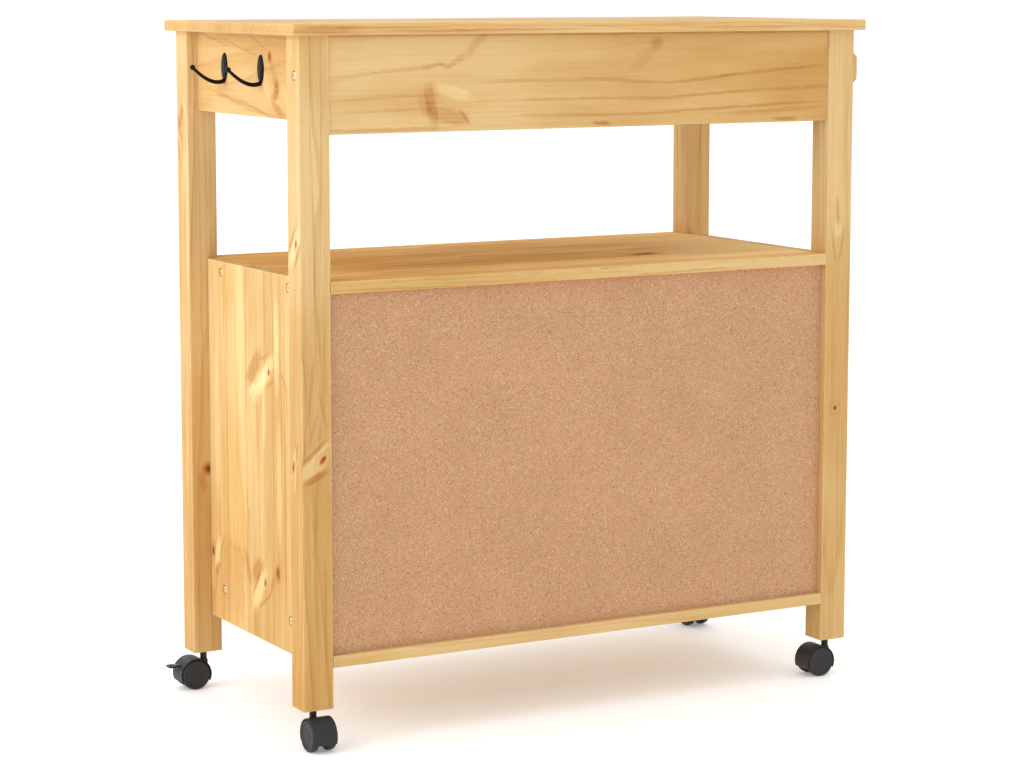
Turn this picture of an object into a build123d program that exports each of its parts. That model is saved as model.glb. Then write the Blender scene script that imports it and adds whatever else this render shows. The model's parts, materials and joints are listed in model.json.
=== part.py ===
from build123d import *
import os

# Kitchen island cart in knotty pine on four twin-wheel casters, with a drawer pair over an open
# bay, a two-door cabinet below, two hooks on the right side and a towel bar on the left side.
# +X is the user's right, +Y the back, +Z up. The origin is on the floor under the worktop's centre.
# All lengths are in millimetres.

# ---- Overall ----
WIDTH = 840.0
DEPTH = 400.0
HEIGHT = 892.0

# ---- Worktop ----
TOP_THICK = 14.0
TOP_ROUND = 2.0
TOP_UNDER = HEIGHT - TOP_THICK

# ---- Legs ----
OVERHANG_X = 12.5
OVERHANG_Y = 9.5
LEG_X = 40.0
LEG_Y = 36.0
LEG_BOTTOM = 50.8
LEG_EDGE = 1.2
LEG_OUT_X = WIDTH / 2 - OVERHANG_X
LEG_OUT_Y = DEPTH / 2 - OVERHANG_Y
LEG_IN_X = LEG_OUT_X - LEG_X
LEG_IN_Y = LEG_OUT_Y - LEG_Y
LEG_MID_X = LEG_OUT_X - LEG_X / 2
LEG_MID_Y = LEG_OUT_Y - LEG_Y / 2

# ---- Aprons ----
APRON_THICK = 20.0
REAR_APRON_BOTTOM = 758.5
REAR_APRON_RECESS = 3.3
REAR_APRON_Y = LEG_OUT_Y - REAR_APRON_RECESS
SIDE_APRON_BOTTOM = 774.7
SIDE_APRON_RECESS = 15.2
SIDE_APRON_X = LEG_OUT_X - SIDE_APRON_RECESS

# ---- Boards of the cabinet ----
BOARD_THICK = 15.0
BOARD_ROUND = 2.5
SHELF_TOP = 580.4
SHELF_UNDER = SHELF_TOP - BOARD_THICK
FLOOR_TOP = 158.5
FLOOR_UNDER = FLOOR_TOP - BOARD_THICK
RIB_THICK = 15.0
RIB_WIDTH = 40.0
PANEL_THICK = 14.0
PANEL_BOTTOM = 101.3
PANEL_OUT_X = LEG_IN_X + PANEL_THICK
RAIL_TOP = PANEL_BOTTOM + BOARD_THICK
RAIL_DEPTH = 30.0
BACK_RECESS = 9.5
BACK_THICK = 4.0
BACK_OUT_Y = LEG_OUT_Y - BACK_RECESS
BACK_IN_Y = BACK_OUT_Y - BACK_THICK
GROOVE_DEPTH = 6.0
GROOVE_SPARE = 1.0

# ---- Bolts and barrel nuts ----
BOLT_Y = (-112.0, 97.0)
BOLT_RADIUS = 3.0
BOLT_LENGTH = 58.0
BOLT_HEAD_RADIUS = 5.0
BOLT_HEAD_THICK = 3.0
BOLT_HEAD_ROUND = 1.1
BOLT_SOCKET_WIDTH = 4.0
BOLT_SOCKET_DEPTH = 1.8
SINK_RADIUS = 6.3
SINK_DEPTH = 3.2
NUT_RADIUS = 5.0
NUT_LENGTH = 16.0
NUT_FROM_TIP = 7.0
LEG_BOLT_Y = 176.0
LEG_BOLT_Z = 830.0

# ---- Dowels ----
DOWEL_RADIUS = 4.0
DOWEL_LENGTH = 30.0
SIDE_APRON_DOWEL_Z = (798.0, 860.0)
REAR_APRON_DOWEL_Z = (782.0, 858.0)
SIDE_PANEL_DOWEL_Z = (137.0, 342.0, 537.0)

# ---- Drawers ----
GAP = 2.0
RECESS = 2.0
FACE_THICK = 18.0
FACE_BACK_Y = -LEG_OUT_Y + RECESS + FACE_THICK
DOOR_BUFFER = 1.0
DRAWER_RAIL_DEPTH = 40.0
DRAWER_RAIL_TOP = SIDE_APRON_BOTTOM + BOARD_THICK
POST_WIDTH = 30.0
DIVIDER_THICK = 16.0
RUNNER_TOP = 792.0
RUNNER_BOTTOM = 777.0
RUNNER_WIDTH = 20.0
RUNNER_END_Y = 150.0
RUNNER_SPARE = 0.3
BOX_THICK = 12.0
BOX_TOP = 868.0
BOX_SIDE_SPARE = 2.2
BOX_END_Y = 150.0
TRAY_THICK = 3.0
TRAY_RAISE = 6.0
TRAY_GROOVE = 5.0

# ---- Doors ----
DOOR_TOP = SHELF_UNDER - GAP
DOOR_BOTTOM = RAIL_TOP + GAP
STILE_WIDTH = 52.0
DOOR_PANEL_THICK = 8.0
DOOR_PANEL_GROOVE = 9.0
DOOR_PANEL_SPARE = 0.8
DOOR_EDGE = 1.0
KNOB_Z_DOOR = 462.0
HINGE_Z = (178.0, 504.0)
HINGE_HEIGHT = 50.0
HINGE_LEAF = 0.9
HINGE_DEPTH = 16.0
HINGE_RADIUS = 2.8
HINGE_PIN_RADIUS = 1.5
HINGE_RUNNING = 0.05
HINGE_KNUCKLE = 16.0
HINGE_KNUCKLE_GAP = 0.3
HINGE_X = LEG_IN_X - GAP / 2
HINGE_STAND = 3.0
HINGE_Y = -LEG_OUT_Y - HINGE_STAND
CATCH_X = (24.0, 64.0)
CATCH_DEPTH = 14.0
CATCH_HEIGHT = 13.0
STRIKE_THICK = 1.0
STRIKE_GAP = 0.3
STRIKE_INSET = 6.0
STRIKE_DROP = 1.0

# ---- Knobs: radius and distance from the face, from the foot to the head ----
KNOB_FOOT_RADIUS = 8.0
KNOB_FOOT_LENGTH = 2.5
KNOB_NECK_RADIUS = 5.0
KNOB_NECK_START = 5.0
KNOB_NECK_END = 11.0
KNOB_RADIUS = 13.5
KNOB_HEAD_START = 16.0
KNOB_LENGTH = 24.0
KNOB_SHOULDER = (12.5, 20.5)
KNOB_CROWN = (7.0, 23.0)
KNOB_STUD_RADIUS = 2.0
KNOB_STUD_LENGTH = 12.0

# ---- Hooks on the right side ----
HOOK_Y = (-64.8, 47.4)
HOOK_TOP = 852.0
HOOK_BOTTOM = 816.0
HOOK_PLATE_WIDTH = 17.0
HOOK_PLATE_THICK = 3.2
HOOK_PLATE_ROUND = 1.4
HOOK_ARM_RADIUS = 2.3
HOOK_ARM_START = (1.8, 818.0)
HOOK_ARM_LOW = (14.0, 814.1)
HOOK_ARM_END = (43.2, 831.5)
HOOK_BALL_RADIUS = 3.5
HOOK_BALL = (44.7, 834.0)
HOOK_STUD_RADIUS = 1.5
HOOK_STUD_LENGTH = 14.0

# ---- Towel bar on the left side ----
TOWEL_END_X = -462.5
TOWEL_Y = 115.0
TOWEL_THICK = 18.0
TOWEL_BOTTOM = 803.0
TOWEL_TOP = 847.0
TOWEL_CHAMFER = 8.0
TOWEL_EDGE = 1.0
TOWEL_BAR_X = -443.0
TOWEL_BAR_Z = 825.0
TOWEL_BAR_RADIUS = 9.0
TOWEL_BAR_SOCKET = 10.0

# ---- Worktop brackets and screws ----
BRACKET_LEG = 20.0
BRACKET_WIDTH = 24.0
BRACKET_THICK = 2.0
BRACKET_HOLE = 12.0
BRACKET_REAR_X = 240.0
BRACKET_FRONT_Y = -80.0
SCREW_RADIUS = 1.8
SCREW_HEAD_RADIUS = 3.6
SCREW_HEAD_THICK = 1.6
SIDE_SCREW = 6.5
TOP_SCREW = 10.0
LONG_SCREW = 45.0
TOWEL_SCREW_Z = (813.0, 837.0)

# ---- Casters, in a frame with the stem's axis at x = y = 0 and the wheels trailing towards +x ----
WHEEL_RADIUS = 20.0
WHEEL_WIDTH = 10.0
WHEEL_MID_Y = 11.7
WHEEL_ROUND = 1.2
WHEEL_DISH = 0.8
WHEEL_DISH_RADIUS = 15.5
TRAIL = 16.5
AXLE_RADIUS = 2.5
AXLE_HALF = 15.0
AXLE_END_SPARE = 0.2
RUNNING = 0.05
HOOD_RADIUS = 22.0
HOOD_INNER = 20.7
HOOD_HALF = 15.7
HOOD_BOTTOM = 10.7
WEB_HALF = 5.9
BOSS_RADIUS = 6.0
BOSS_TOP = 38.0
BOSS_BOTTOM = 14.0
STEM_RADIUS = 4.5
STEM_BOTTOM = 26.0
SOCKET_RADIUS = 6.0
SOCKET_HEIGHT = 36.0
SOCKET_CAP = 1.0
STEM_END_SPARE = 0.2
STEM_TOP = LEG_BOTTOM + SOCKET_HEIGHT - SOCKET_CAP - STEM_END_SPARE
LEVER_PIVOT_X = 30.0
LEVER_Z = 32.5
LEVER_THICK = 2.6
LEVER_HALF = 4.0
LEVER_SLOT_HALF = 4.4
LEVER_SLOT_START = 26.0
LEVER_SLOT_BOTTOM = 27.8
LEVER_SLOT_TOP = 35.7
LEVER_BARREL_RADIUS = 2.8
LEVER_PIN_RADIUS = 1.25
PEDAL_START = 40.5
PEDAL_END = 52.0
PEDAL_HALF = 7.5
PEDAL_ROUND = 3.0

# Each caster's place over the floor, the way its wheels trail, and whether it has a brake.
CASTERS = {
    "front_right": (LEG_MID_X, -LEG_MID_Y, 0.0, True),
    "rear_right": (LEG_MID_X, LEG_MID_Y, 90.0, False),
    "rear_left": (-LEG_MID_X, LEG_MID_Y, 0.0, False),
    "front_left": (-LEG_MID_X, -LEG_MID_Y, 90.0, True),
}
SIDES = {"right": 1, "left": -1}
UPRIGHT = (Align.CENTER, Align.CENTER, Align.MIN)


def block(x0, x1, y0, y1, z0, z1):
    """A box between two corners, given in any order."""
    middle = Pos((x0 + x1) / 2, (y0 + y1) / 2, (z0 + z1) / 2)
    return middle * Box(abs(x1 - x0), abs(y1 - y0), abs(z1 - z0))


def rod(start, along, radius, length):
    """A round bar from a point, along a direction."""
    return Plane(origin=start, z_dir=along) * Cylinder(radius, length, align=UPRIGHT)


def eased(part, axis, radius):
    """The part with its edges that run along an axis rounded."""
    return fillet(part.edges().filter_by(axis), radius)


def drill(part, cutters):
    """The part less those cutters that reach it."""
    box = part.bounding_box()

    def reaches(cutter):
        other = cutter.bounding_box()
        return all(
            a < b for a, b in zip(tuple(box.min), tuple(other.max))
        ) and all(a < b for a, b in zip(tuple(other.min), tuple(box.max)))

    near = [cutter for cutter in cutters if reaches(cutter)]
    return part - near if near else part


def write(name, *solids):
    """Write one named piece, or one group of identical pieces, to its own file."""
    shape = solids[0] if len(solids) == 1 else Compound(children=list(solids))
    export_step(shape, os.path.join("parts", name + ".step"))


# ---- Fasteners and the bores that take them ----


def dowel_set():
    """Wooden dowels across every glued joint between a leg and a rail, apron or panel."""
    middles = []
    for sx in SIDES.values():
        for sy in SIDES.values():
            for z in SIDE_APRON_DOWEL_Z:
                middles.append((sx * (SIDE_APRON_X - APRON_THICK / 2), sy * LEG_IN_Y, z, (0, 1, 0)))
            for z in SIDE_PANEL_DOWEL_Z:
                middles.append((sx * (LEG_IN_X + PANEL_THICK / 2), sy * LEG_IN_Y, z, (0, 1, 0)))
            rail_z = PANEL_BOTTOM + BOARD_THICK / 2
            middles.append((sx * LEG_IN_X, sy * (LEG_OUT_Y - RAIL_DEPTH / 2), rail_z, (1, 0, 0)))
        for z in REAR_APRON_DOWEL_Z:
            middles.append((sx * LEG_IN_X, REAR_APRON_Y - APRON_THICK / 2, z, (1, 0, 0)))
        drawer_z = SIDE_APRON_BOTTOM + BOARD_THICK / 2
        middles.append((sx * LEG_IN_X, -LEG_MID_Y, drawer_z, (1, 0, 0)))
    half = DOWEL_LENGTH / 2
    return [
        rod((x - half * d[0], y - half * d[1], z), d, DOWEL_RADIUS, DOWEL_LENGTH)
        for x, y, z, d in middles
    ]


def bolt_places():
    """Each bolt's seat, under its head, and whether it draws on a shelf or on the rear apron."""
    places = []
    for sx in SIDES.values():
        for y in BOLT_Y:
            places.append((sx, PANEL_OUT_X - SINK_DEPTH, y, SHELF_UNDER, False))
            places.append((sx, PANEL_OUT_X - SINK_DEPTH, y, FLOOR_UNDER, False))
        places.append((sx, LEG_OUT_X - SINK_DEPTH, LEG_BOLT_Y, LEG_BOLT_Z, True))
    return places


def bolt(sx, x, y, z):
    """A pan-head bolt with a hexagon socket, pointing inwards."""
    head = Cylinder(BOLT_HEAD_RADIUS, BOLT_HEAD_THICK, align=UPRIGHT)
    head = fillet(head.edges().sort_by(Axis.Z)[-1], BOLT_HEAD_ROUND)
    socket = extrude(RegularPolygon(BOLT_SOCKET_WIDTH / 2, 6), BOLT_SOCKET_DEPTH)
    head -= Pos(0, 0, BOLT_HEAD_THICK - BOLT_SOCKET_DEPTH) * socket
    seat = Plane(origin=(sx * x, y, z), z_dir=(sx, 0, 0))
    return seat * head + rod((sx * x, y, z), (-sx, 0, 0), BOLT_RADIUS, BOLT_LENGTH)


def bolt_bore(sx, x, y, z):
    """The counterbore and clearance hole for one bolt."""
    seat = (sx * x, y, z)
    sink = rod(seat, (sx, 0, 0), SINK_RADIUS, SINK_DEPTH + TOP_ROUND)
    return sink + rod(seat, (-sx, 0, 0), BOLT_RADIUS, BOLT_LENGTH)


def nut_start(sx, x, y, z, in_apron):
    """The inner end of a barrel nut and the way its bore leads out of the wood."""
    nut_x = sx * (x - BOLT_LENGTH + NUT_FROM_TIP)
    if in_apron:
        return (nut_x, y + NUT_LENGTH / 2, z), (0, -1, 0)
    return (nut_x, y, z + NUT_LENGTH / 2), (0, 0, -1)


def barrel_nut(sx, x, y, z, in_apron):
    """A cross dowel with its bolt's hole through it."""
    start, out = nut_start(sx, x, y, z, in_apron)
    shank = rod((sx * x, y, z), (-sx, 0, 0), BOLT_RADIUS, BOLT_LENGTH)
    return rod(start, out, NUT_RADIUS, NUT_LENGTH) - shank


def nut_bore(sx, x, y, z, in_apron):
    """The blind bore that a barrel nut is dropped into."""
    start, out = nut_start(sx, x, y, z, in_apron)
    return rod(start, out, NUT_RADIUS, NUT_LENGTH + RIB_THICK)


def screw(seat, inward, length):
    """A pan-head wood screw from its seat."""
    outward = tuple(-c for c in inward)
    head = rod(seat, outward, SCREW_HEAD_RADIUS, SCREW_HEAD_THICK)
    return head + rod(seat, inward, SCREW_RADIUS, length)


dowels = dowel_set()
bolts = [bolt(sx, x, y, z) for sx, x, y, z, _ in bolt_places()]
nuts = [barrel_nut(*place) for place in bolt_places()]
bores = dowels + [bolt_bore(sx, x, y, z) for sx, x, y, z, _ in bolt_places()]
bores += [nut_bore(*place) for place in bolt_places()]


# ---- Worktop brackets: steel angles under the worktop, and every wood screw ----


def bracket_places():
    """Each bracket's inner corner and the way it faces, into the room under the worktop."""
    places = []
    for sx in SIDES.values():
        places.append(((sx * BRACKET_REAR_X, REAR_APRON_Y - APRON_THICK, TOP_UNDER), (0, -1)))
        places.append(((sx * (SIDE_APRON_X - APRON_THICK), 0, TOP_UNDER), (-sx, 0)))
        places.append(((sx * DIVIDER_THICK / 2, BRACKET_FRONT_Y, TOP_UNDER), (sx, 0)))
    return places


def bracket(corner, face):
    """A steel angle: one leg flat against the wood behind it, one against the worktop."""
    local = Plane(origin=corner, x_dir=(face[0], face[1], 0), z_dir=(0, 0, 1))
    half = BRACKET_WIDTH / 2
    upright = block(0, BRACKET_THICK, -half, half, -BRACKET_LEG, 0)
    flat = block(0, BRACKET_LEG, -half, half, -BRACKET_THICK, 0)
    angle = upright + flat
    angle -= rod((0, 0, -BRACKET_HOLE), (1, 0, 0), SCREW_RADIUS, BRACKET_THICK)
    angle -= rod((BRACKET_HOLE, 0, -BRACKET_THICK), (0, 0, 1), SCREW_RADIUS, BRACKET_THICK)
    return local * angle


def bracket_screws(corner, face):
    """The two screws of one bracket, into the wood behind it and up into the worktop."""
    fx, fy = face
    x, y, z = corner
    low = (x + fx * BRACKET_THICK, y + fy * BRACKET_THICK, z - BRACKET_HOLE)
    high = (x + fx * BRACKET_HOLE, y + fy * BRACKET_HOLE, z - BRACKET_THICK)
    return [screw(low, (-fx, -fy, 0), SIDE_SCREW), screw(high, (0, 0, 1), TOP_SCREW)]


screws = [s for place in bracket_places() for s in bracket_screws(*place)]
for towel_y in (-TOWEL_Y, TOWEL_Y):
    for screw_z in TOWEL_SCREW_Z:
        inner_face = -(SIDE_APRON_X - APRON_THICK)
        screws.append(screw((inner_face, towel_y, screw_z), (-1, 0, 0), LONG_SCREW))


# ---- Wooden frame ----


def worktop():
    board = block(-WIDTH / 2, WIDTH / 2, -DEPTH / 2, DEPTH / 2, TOP_UNDER, HEIGHT)
    return drill(fillet(board.edges(), TOP_ROUND), screws)


def leg(sx, sy):
    """A square post with a caster socket's bore in its foot, and a groove for the back panel."""
    x, y = (sx * LEG_IN_X, sx * LEG_OUT_X), (sy * LEG_IN_Y, sy * LEG_OUT_Y)
    post = eased(block(*x, *y, LEG_BOTTOM, TOP_UNDER), Axis.Z, LEG_EDGE)
    foot = (sx * LEG_MID_X, sy * LEG_MID_Y, LEG_BOTTOM)
    post -= rod(foot, (0, 0, 1), SOCKET_RADIUS, SOCKET_HEIGHT)
    if sy > 0:
        groove_x = sx * (LEG_IN_X + GROOVE_DEPTH)
        post -= block(sx * LEG_IN_X, groove_x, BACK_IN_Y, BACK_OUT_Y, RAIL_TOP, SHELF_UNDER)
    return drill(post, bores)


def rear_apron():
    y = (REAR_APRON_Y - APRON_THICK, REAR_APRON_Y)
    board = block(-LEG_IN_X, LEG_IN_X, *y, REAR_APRON_BOTTOM, TOP_UNDER)
    return drill(board, bores + screws)


def side_apron(sx):
    """A side apron, bored for the hooks' studs on the right side."""
    outer = sx * SIDE_APRON_X
    inner = sx * (SIDE_APRON_X - APRON_THICK)
    board = block(inner, outer, -LEG_IN_Y, LEG_IN_Y, SIDE_APRON_BOTTOM, TOP_UNDER)
    if sx > 0:
        board -= [hook_stud(y) for y in HOOK_Y]
    return drill(board, bores + screws)


def side_panel(sx):
    board = block(sx * LEG_IN_X, sx * PANEL_OUT_X, -LEG_IN_Y, LEG_IN_Y, PANEL_BOTTOM, SHELF_TOP)
    return drill(board, bores)


def ribbed_board(front, back, top):
    """A glued board whose two thicker staves take the bolts at half of their height."""
    board = block(-LEG_IN_X, LEG_IN_X, front, back, top - BOARD_THICK, top)
    board = eased(board, Axis.X, BOARD_ROUND)
    for y in BOLT_Y:
        low = top - BOARD_THICK - RIB_THICK
        board += block(-LEG_IN_X, LEG_IN_X, y - RIB_WIDTH / 2, y + RIB_WIDTH / 2, low, top - BOARD_THICK)
    return drill(board, bores)


def bottom_rail(sy):
    y = (sy * (LEG_OUT_Y - RAIL_DEPTH), sy * LEG_OUT_Y)
    rail = block(-LEG_IN_X, LEG_IN_X, *y, PANEL_BOTTOM, RAIL_TOP)
    return drill(eased(rail, Axis.X, BOARD_ROUND), bores)


def back_panel():
    half = LEG_IN_X + GROOVE_DEPTH - GROOVE_SPARE
    return block(-half, half, BACK_IN_Y, BACK_OUT_Y, RAIL_TOP, SHELF_UNDER)


def drawer_rail():
    rail = block(
        -LEG_IN_X, LEG_IN_X, -LEG_OUT_Y, DRAWER_RAIL_DEPTH - LEG_OUT_Y, SIDE_APRON_BOTTOM, DRAWER_RAIL_TOP
    )
    return drill(eased(rail, Axis.X, LEG_EDGE), bores)


def drawer_post():
    half = POST_WIDTH / 2
    post = block(-half, half, -LEG_OUT_Y, FACE_BACK_Y, DRAWER_RAIL_TOP, TOP_UNDER)
    return eased(post, Axis.Z, LEG_EDGE)


def drawer_divider():
    """The board between the drawers, notched over the drawer rail."""
    half = DIVIDER_THICK / 2
    rail_back = DRAWER_RAIL_DEPTH - LEG_OUT_Y
    board = block(-half, half, rail_back, REAR_APRON_Y - APRON_THICK, RUNNER_BOTTOM, TOP_UNDER)
    board += block(-half, half, FACE_BACK_Y, rail_back, DRAWER_RAIL_TOP, TOP_UNDER)
    return drill(board, screws)


def drawer_runners():
    """Wooden strips on both sides of each drawer opening, under the drawer's sides."""
    front = DRAWER_RAIL_DEPTH - LEG_OUT_Y
    strips = []
    for sx in SIDES.values():
        for inner in (DIVIDER_THICK / 2, SIDE_APRON_X - APRON_THICK - RUNNER_WIDTH):
            x0, x1 = sx * inner, sx * (inner + RUNNER_WIDTH)
            strips.append(block(x0, x1, front, RUNNER_END_Y, RUNNER_BOTTOM, RUNNER_TOP))
    return strips


def caster_socket(sx, sy):
    """A steel sleeve in a leg's foot, closed at its top, in which a caster's stem turns."""
    foot = (sx * LEG_MID_X, sy * LEG_MID_Y, LEG_BOTTOM)
    sleeve = rod(foot, (0, 0, 1), SOCKET_RADIUS, SOCKET_HEIGHT)
    return sleeve - rod(foot, (0, 0, 1), STEM_RADIUS + RUNNING, SOCKET_HEIGHT - SOCKET_CAP)


# ---- Hooks and towel bar ----


def hook_stud(y):
    """The threaded stud that holds a hook's plate to the side apron."""
    start = (SIDE_APRON_X, y, (HOOK_TOP + HOOK_BOTTOM) / 2)
    return rod(start, (-1, 0, 0), HOOK_STUD_RADIUS, HOOK_STUD_LENGTH)


def hook(y):
    """A domed oval plate, a round arm that dips and rises, and a ball at its tip."""
    face = Plane(origin=(SIDE_APRON_X, y, 0), x_dir=(0, 1, 0), z_dir=(1, 0, 0))
    middle_z = (HOOK_TOP + HOOK_BOTTOM) / 2
    oval = Ellipse(HOOK_PLATE_WIDTH / 2, (HOOK_TOP - HOOK_BOTTOM) / 2)
    plate = extrude(oval, HOOK_PLATE_THICK)
    plate = fillet(plate.edges().sort_by(Axis.Z)[-1], HOOK_PLATE_ROUND)
    plate = face * (Pos(0, middle_z, 0) * plate)

    def at(point):
        return (SIDE_APRON_X + point[0], y, point[1])

    path = ThreePointArc(at(HOOK_ARM_START), at(HOOK_ARM_LOW), at(HOOK_ARM_END))
    section = Plane(origin=path @ 0, z_dir=path % 0) * Circle(HOOK_ARM_RADIUS)
    arm = sweep(section, path=path)
    return plate + arm + Pos(*at(HOOK_BALL)) * Sphere(HOOK_BALL_RADIUS) + hook_stud(y)


def towel_bar():
    half = TOWEL_Y - TOWEL_THICK / 2 + TOWEL_BAR_SOCKET
    return rod((TOWEL_BAR_X, -half, TOWEL_BAR_Z), (0, 1, 0), TOWEL_BAR_RADIUS, 2 * half)


def towel_bracket(y):
    """A wooden bracket with cut-off outer corners and a blind socket for the bar."""
    half = TOWEL_THICK / 2
    board = block(TOWEL_END_X, -SIDE_APRON_X, y - half, y + half, TOWEL_BOTTOM, TOWEL_TOP)
    outer = board.edges().filter_by(Axis.Y).group_by(Axis.X)[0]
    board = chamfer(outer, TOWEL_CHAMFER)
    face_edges = board.faces().sort_by(Axis.X)[0].edges()
    board = chamfer(face_edges, TOWEL_EDGE)
    return drill(board - towel_bar(), screws)


# ---- Drawers and doors: built for the right side and mirrored for the left ----


def knob_stud(x, z):
    """The stud that holds a knob to a drawer or door front."""
    return rod((x, RECESS - LEG_OUT_Y, z), (0, 1, 0), KNOB_STUD_RADIUS, KNOB_STUD_LENGTH)


def knob(x, z):
    """A turned knob: a foot, a waist and a rounded head."""
    with BuildSketch(Plane.XZ) as half_section:
        with BuildLine():
            Polyline(
                (0, 0),
                (KNOB_FOOT_RADIUS, 0),
                (KNOB_FOOT_RADIUS, KNOB_FOOT_LENGTH),
                (KNOB_NECK_RADIUS, KNOB_NECK_START),
                (KNOB_NECK_RADIUS, KNOB_NECK_END),
                (KNOB_RADIUS, KNOB_HEAD_START),
            )
            ThreePointArc((KNOB_RADIUS, KNOB_HEAD_START), KNOB_SHOULDER, KNOB_CROWN)
            Polyline(KNOB_CROWN, (0, KNOB_LENGTH), (0, 0))
        make_face()
    turned = revolve(half_section.sketch, Axis.Z)
    front = Plane(origin=(x, RECESS - LEG_OUT_Y, z), z_dir=(0, -1, 0))
    return front * turned + knob_stud(x, z)


DRAWER_X0 = POST_WIDTH / 2 + GAP
DRAWER_X1 = LEG_IN_X - GAP
DRAWER_Z0 = DRAWER_RAIL_TOP + GAP
DRAWER_Z1 = TOP_UNDER - GAP
DRAWER_MID_X = (DRAWER_X0 + DRAWER_X1) / 2
DRAWER_MID_Z = (DRAWER_Z0 + DRAWER_Z1) / 2
BOX_X0 = POST_WIDTH / 2 + BOX_SIDE_SPARE
BOX_X1 = LEG_IN_X - BOX_SIDE_SPARE
BOX_Z0 = RUNNER_TOP + RUNNER_SPARE
TRAY_Z = BOX_Z0 + TRAY_RAISE


def drawer_bottom():
    """A thin sheet held in grooves in the sides and the front."""
    x0 = BOX_X0 + BOX_THICK - TRAY_GROOVE
    x1 = BOX_X1 - BOX_THICK + TRAY_GROOVE
    return block(x0, x1, FACE_BACK_Y - TRAY_GROOVE, BOX_END_Y, TRAY_Z, TRAY_Z + TRAY_THICK)


def drawer_front():
    board = block(DRAWER_X0, DRAWER_X1, RECESS - LEG_OUT_Y, FACE_BACK_Y, DRAWER_Z0, DRAWER_Z1)
    board = chamfer(board.faces().sort_by(Axis.Y)[0].edges(), DOOR_EDGE)
    return board - [drawer_bottom(), knob_stud(DRAWER_MID_X, DRAWER_MID_Z)]


def drawer_box():
    """Two sides and a back; the bottom slides in under the back."""
    sides = [
        block(x, x + BOX_THICK, FACE_BACK_Y, BOX_END_Y, BOX_Z0, BOX_TOP) - drawer_bottom()
        for x in (BOX_X0, BOX_X1 - BOX_THICK)
    ]
    x0, x1 = BOX_X0 + BOX_THICK, BOX_X1 - BOX_THICK
    back = block(x0, x1, BOX_END_Y - BOX_THICK, BOX_END_Y, TRAY_Z + TRAY_THICK, BOX_TOP)
    return sides + [back]


DOOR_X0 = GAP / 2
DOOR_X1 = LEG_IN_X - GAP
DOOR_FRONT_Y = RECESS - LEG_OUT_Y
DOOR_MID_Y = DOOR_FRONT_Y + FACE_THICK / 2
KNOB_X_DOOR = DOOR_X0 + STILE_WIDTH / 2


def door_opening(spare):
    """The door panel's space, as far into the frame's grooves as the spare leaves."""
    reach = STILE_WIDTH - DOOR_PANEL_GROOVE + spare
    half = DOOR_PANEL_THICK / 2
    return block(
        DOOR_X0 + reach,
        DOOR_X1 - reach,
        DOOR_MID_Y - half,
        DOOR_MID_Y + half,
        DOOR_BOTTOM + reach,
        DOOR_TOP - reach,
    )


def door_frame():
    """Two full-height stiles with two rails between them, grooved for the panel."""
    y = (DOOR_FRONT_Y, FACE_BACK_Y)
    x0, x1 = DOOR_X0 + STILE_WIDTH, DOOR_X1 - STILE_WIDTH
    stiles = [
        block(DOOR_X0, x0, *y, DOOR_BOTTOM, DOOR_TOP),
        block(x1, DOOR_X1, *y, DOOR_BOTTOM, DOOR_TOP),
    ]
    rails = [
        block(x0, x1, *y, DOOR_BOTTOM, DOOR_BOTTOM + STILE_WIDTH),
        block(x0, x1, *y, DOOR_TOP - STILE_WIDTH, DOOR_TOP),
    ]
    cutters = [door_opening(0), knob_stud(KNOB_X_DOOR, KNOB_Z_DOOR)]
    return [drill(member, cutters) for member in stiles + rails]


def knuckle(z0, z1, bore):
    """One knuckle of a hinge's barrel."""
    base = (HINGE_X, HINGE_Y, z0)
    barrel = rod(base, (0, 0, 1), HINGE_RADIUS, z1 - z0)
    return barrel - rod(base, (0, 0, 1), bore, z1 - z0)


def leaf(x0, x1, z0, z1):
    """A hinge's flat leaf, from its barrel into the gap beside the door."""
    return block(x0, x1, HINGE_Y + HINGE_PIN_RADIUS + HINGE_RUNNING, HINGE_Y + HINGE_DEPTH, z0, z1)


def fixed_leaf(middle):
    """The leaf on the leg, with both end knuckles and the pin."""
    z0, z1 = middle - HINGE_HEIGHT / 2, middle + HINGE_HEIGHT / 2
    x0, x1 = LEG_IN_X - HINGE_LEAF, LEG_IN_X
    low, high = z0 + HINGE_KNUCKLE, z1 - HINGE_KNUCKLE
    plate = leaf(x0, x1, z0, z1)
    room = HINGE_KNUCKLE_GAP
    barrel_room = rod((HINGE_X, HINGE_Y, low), (0, 0, 1), HINGE_RADIUS + room, high - low)
    plate -= barrel_room
    pin = rod((HINGE_X, HINGE_Y, z0), (0, 0, 1), HINGE_PIN_RADIUS, HINGE_HEIGHT)
    return plate + knuckle(z0, low, HINGE_PIN_RADIUS) + knuckle(high, z1, HINGE_PIN_RADIUS) + pin


def moving_leaf(middle):
    """The leaf on the door, with the middle knuckle running on the pin."""
    z0, z1 = middle - HINGE_HEIGHT / 2, middle + HINGE_HEIGHT / 2
    low = z0 + HINGE_KNUCKLE + HINGE_KNUCKLE_GAP
    high = z1 - HINGE_KNUCKLE - HINGE_KNUCKLE_GAP
    plate = leaf(DOOR_X1, DOOR_X1 + HINGE_LEAF, z0, z1)
    for end in (z0, high):
        room = HINGE_RADIUS + HINGE_KNUCKLE_GAP
        plate -= rod((HINGE_X, HINGE_Y, end), (0, 0, 1), room, low - z0)
    return plate + knuckle(low, high, HINGE_PIN_RADIUS + HINGE_RUNNING)


def catch(sx):
    """A magnetic catch under the shelf, behind the top of a door's free edge."""
    front = FACE_BACK_Y + STRIKE_THICK + STRIKE_GAP
    x0, x1 = sx * CATCH_X[0], sx * CATCH_X[1]
    body = block(x0, x1, front, front + CATCH_DEPTH, SHELF_UNDER - CATCH_HEIGHT, SHELF_UNDER)
    return eased(body, Axis.Y, DOOR_EDGE)


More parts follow.
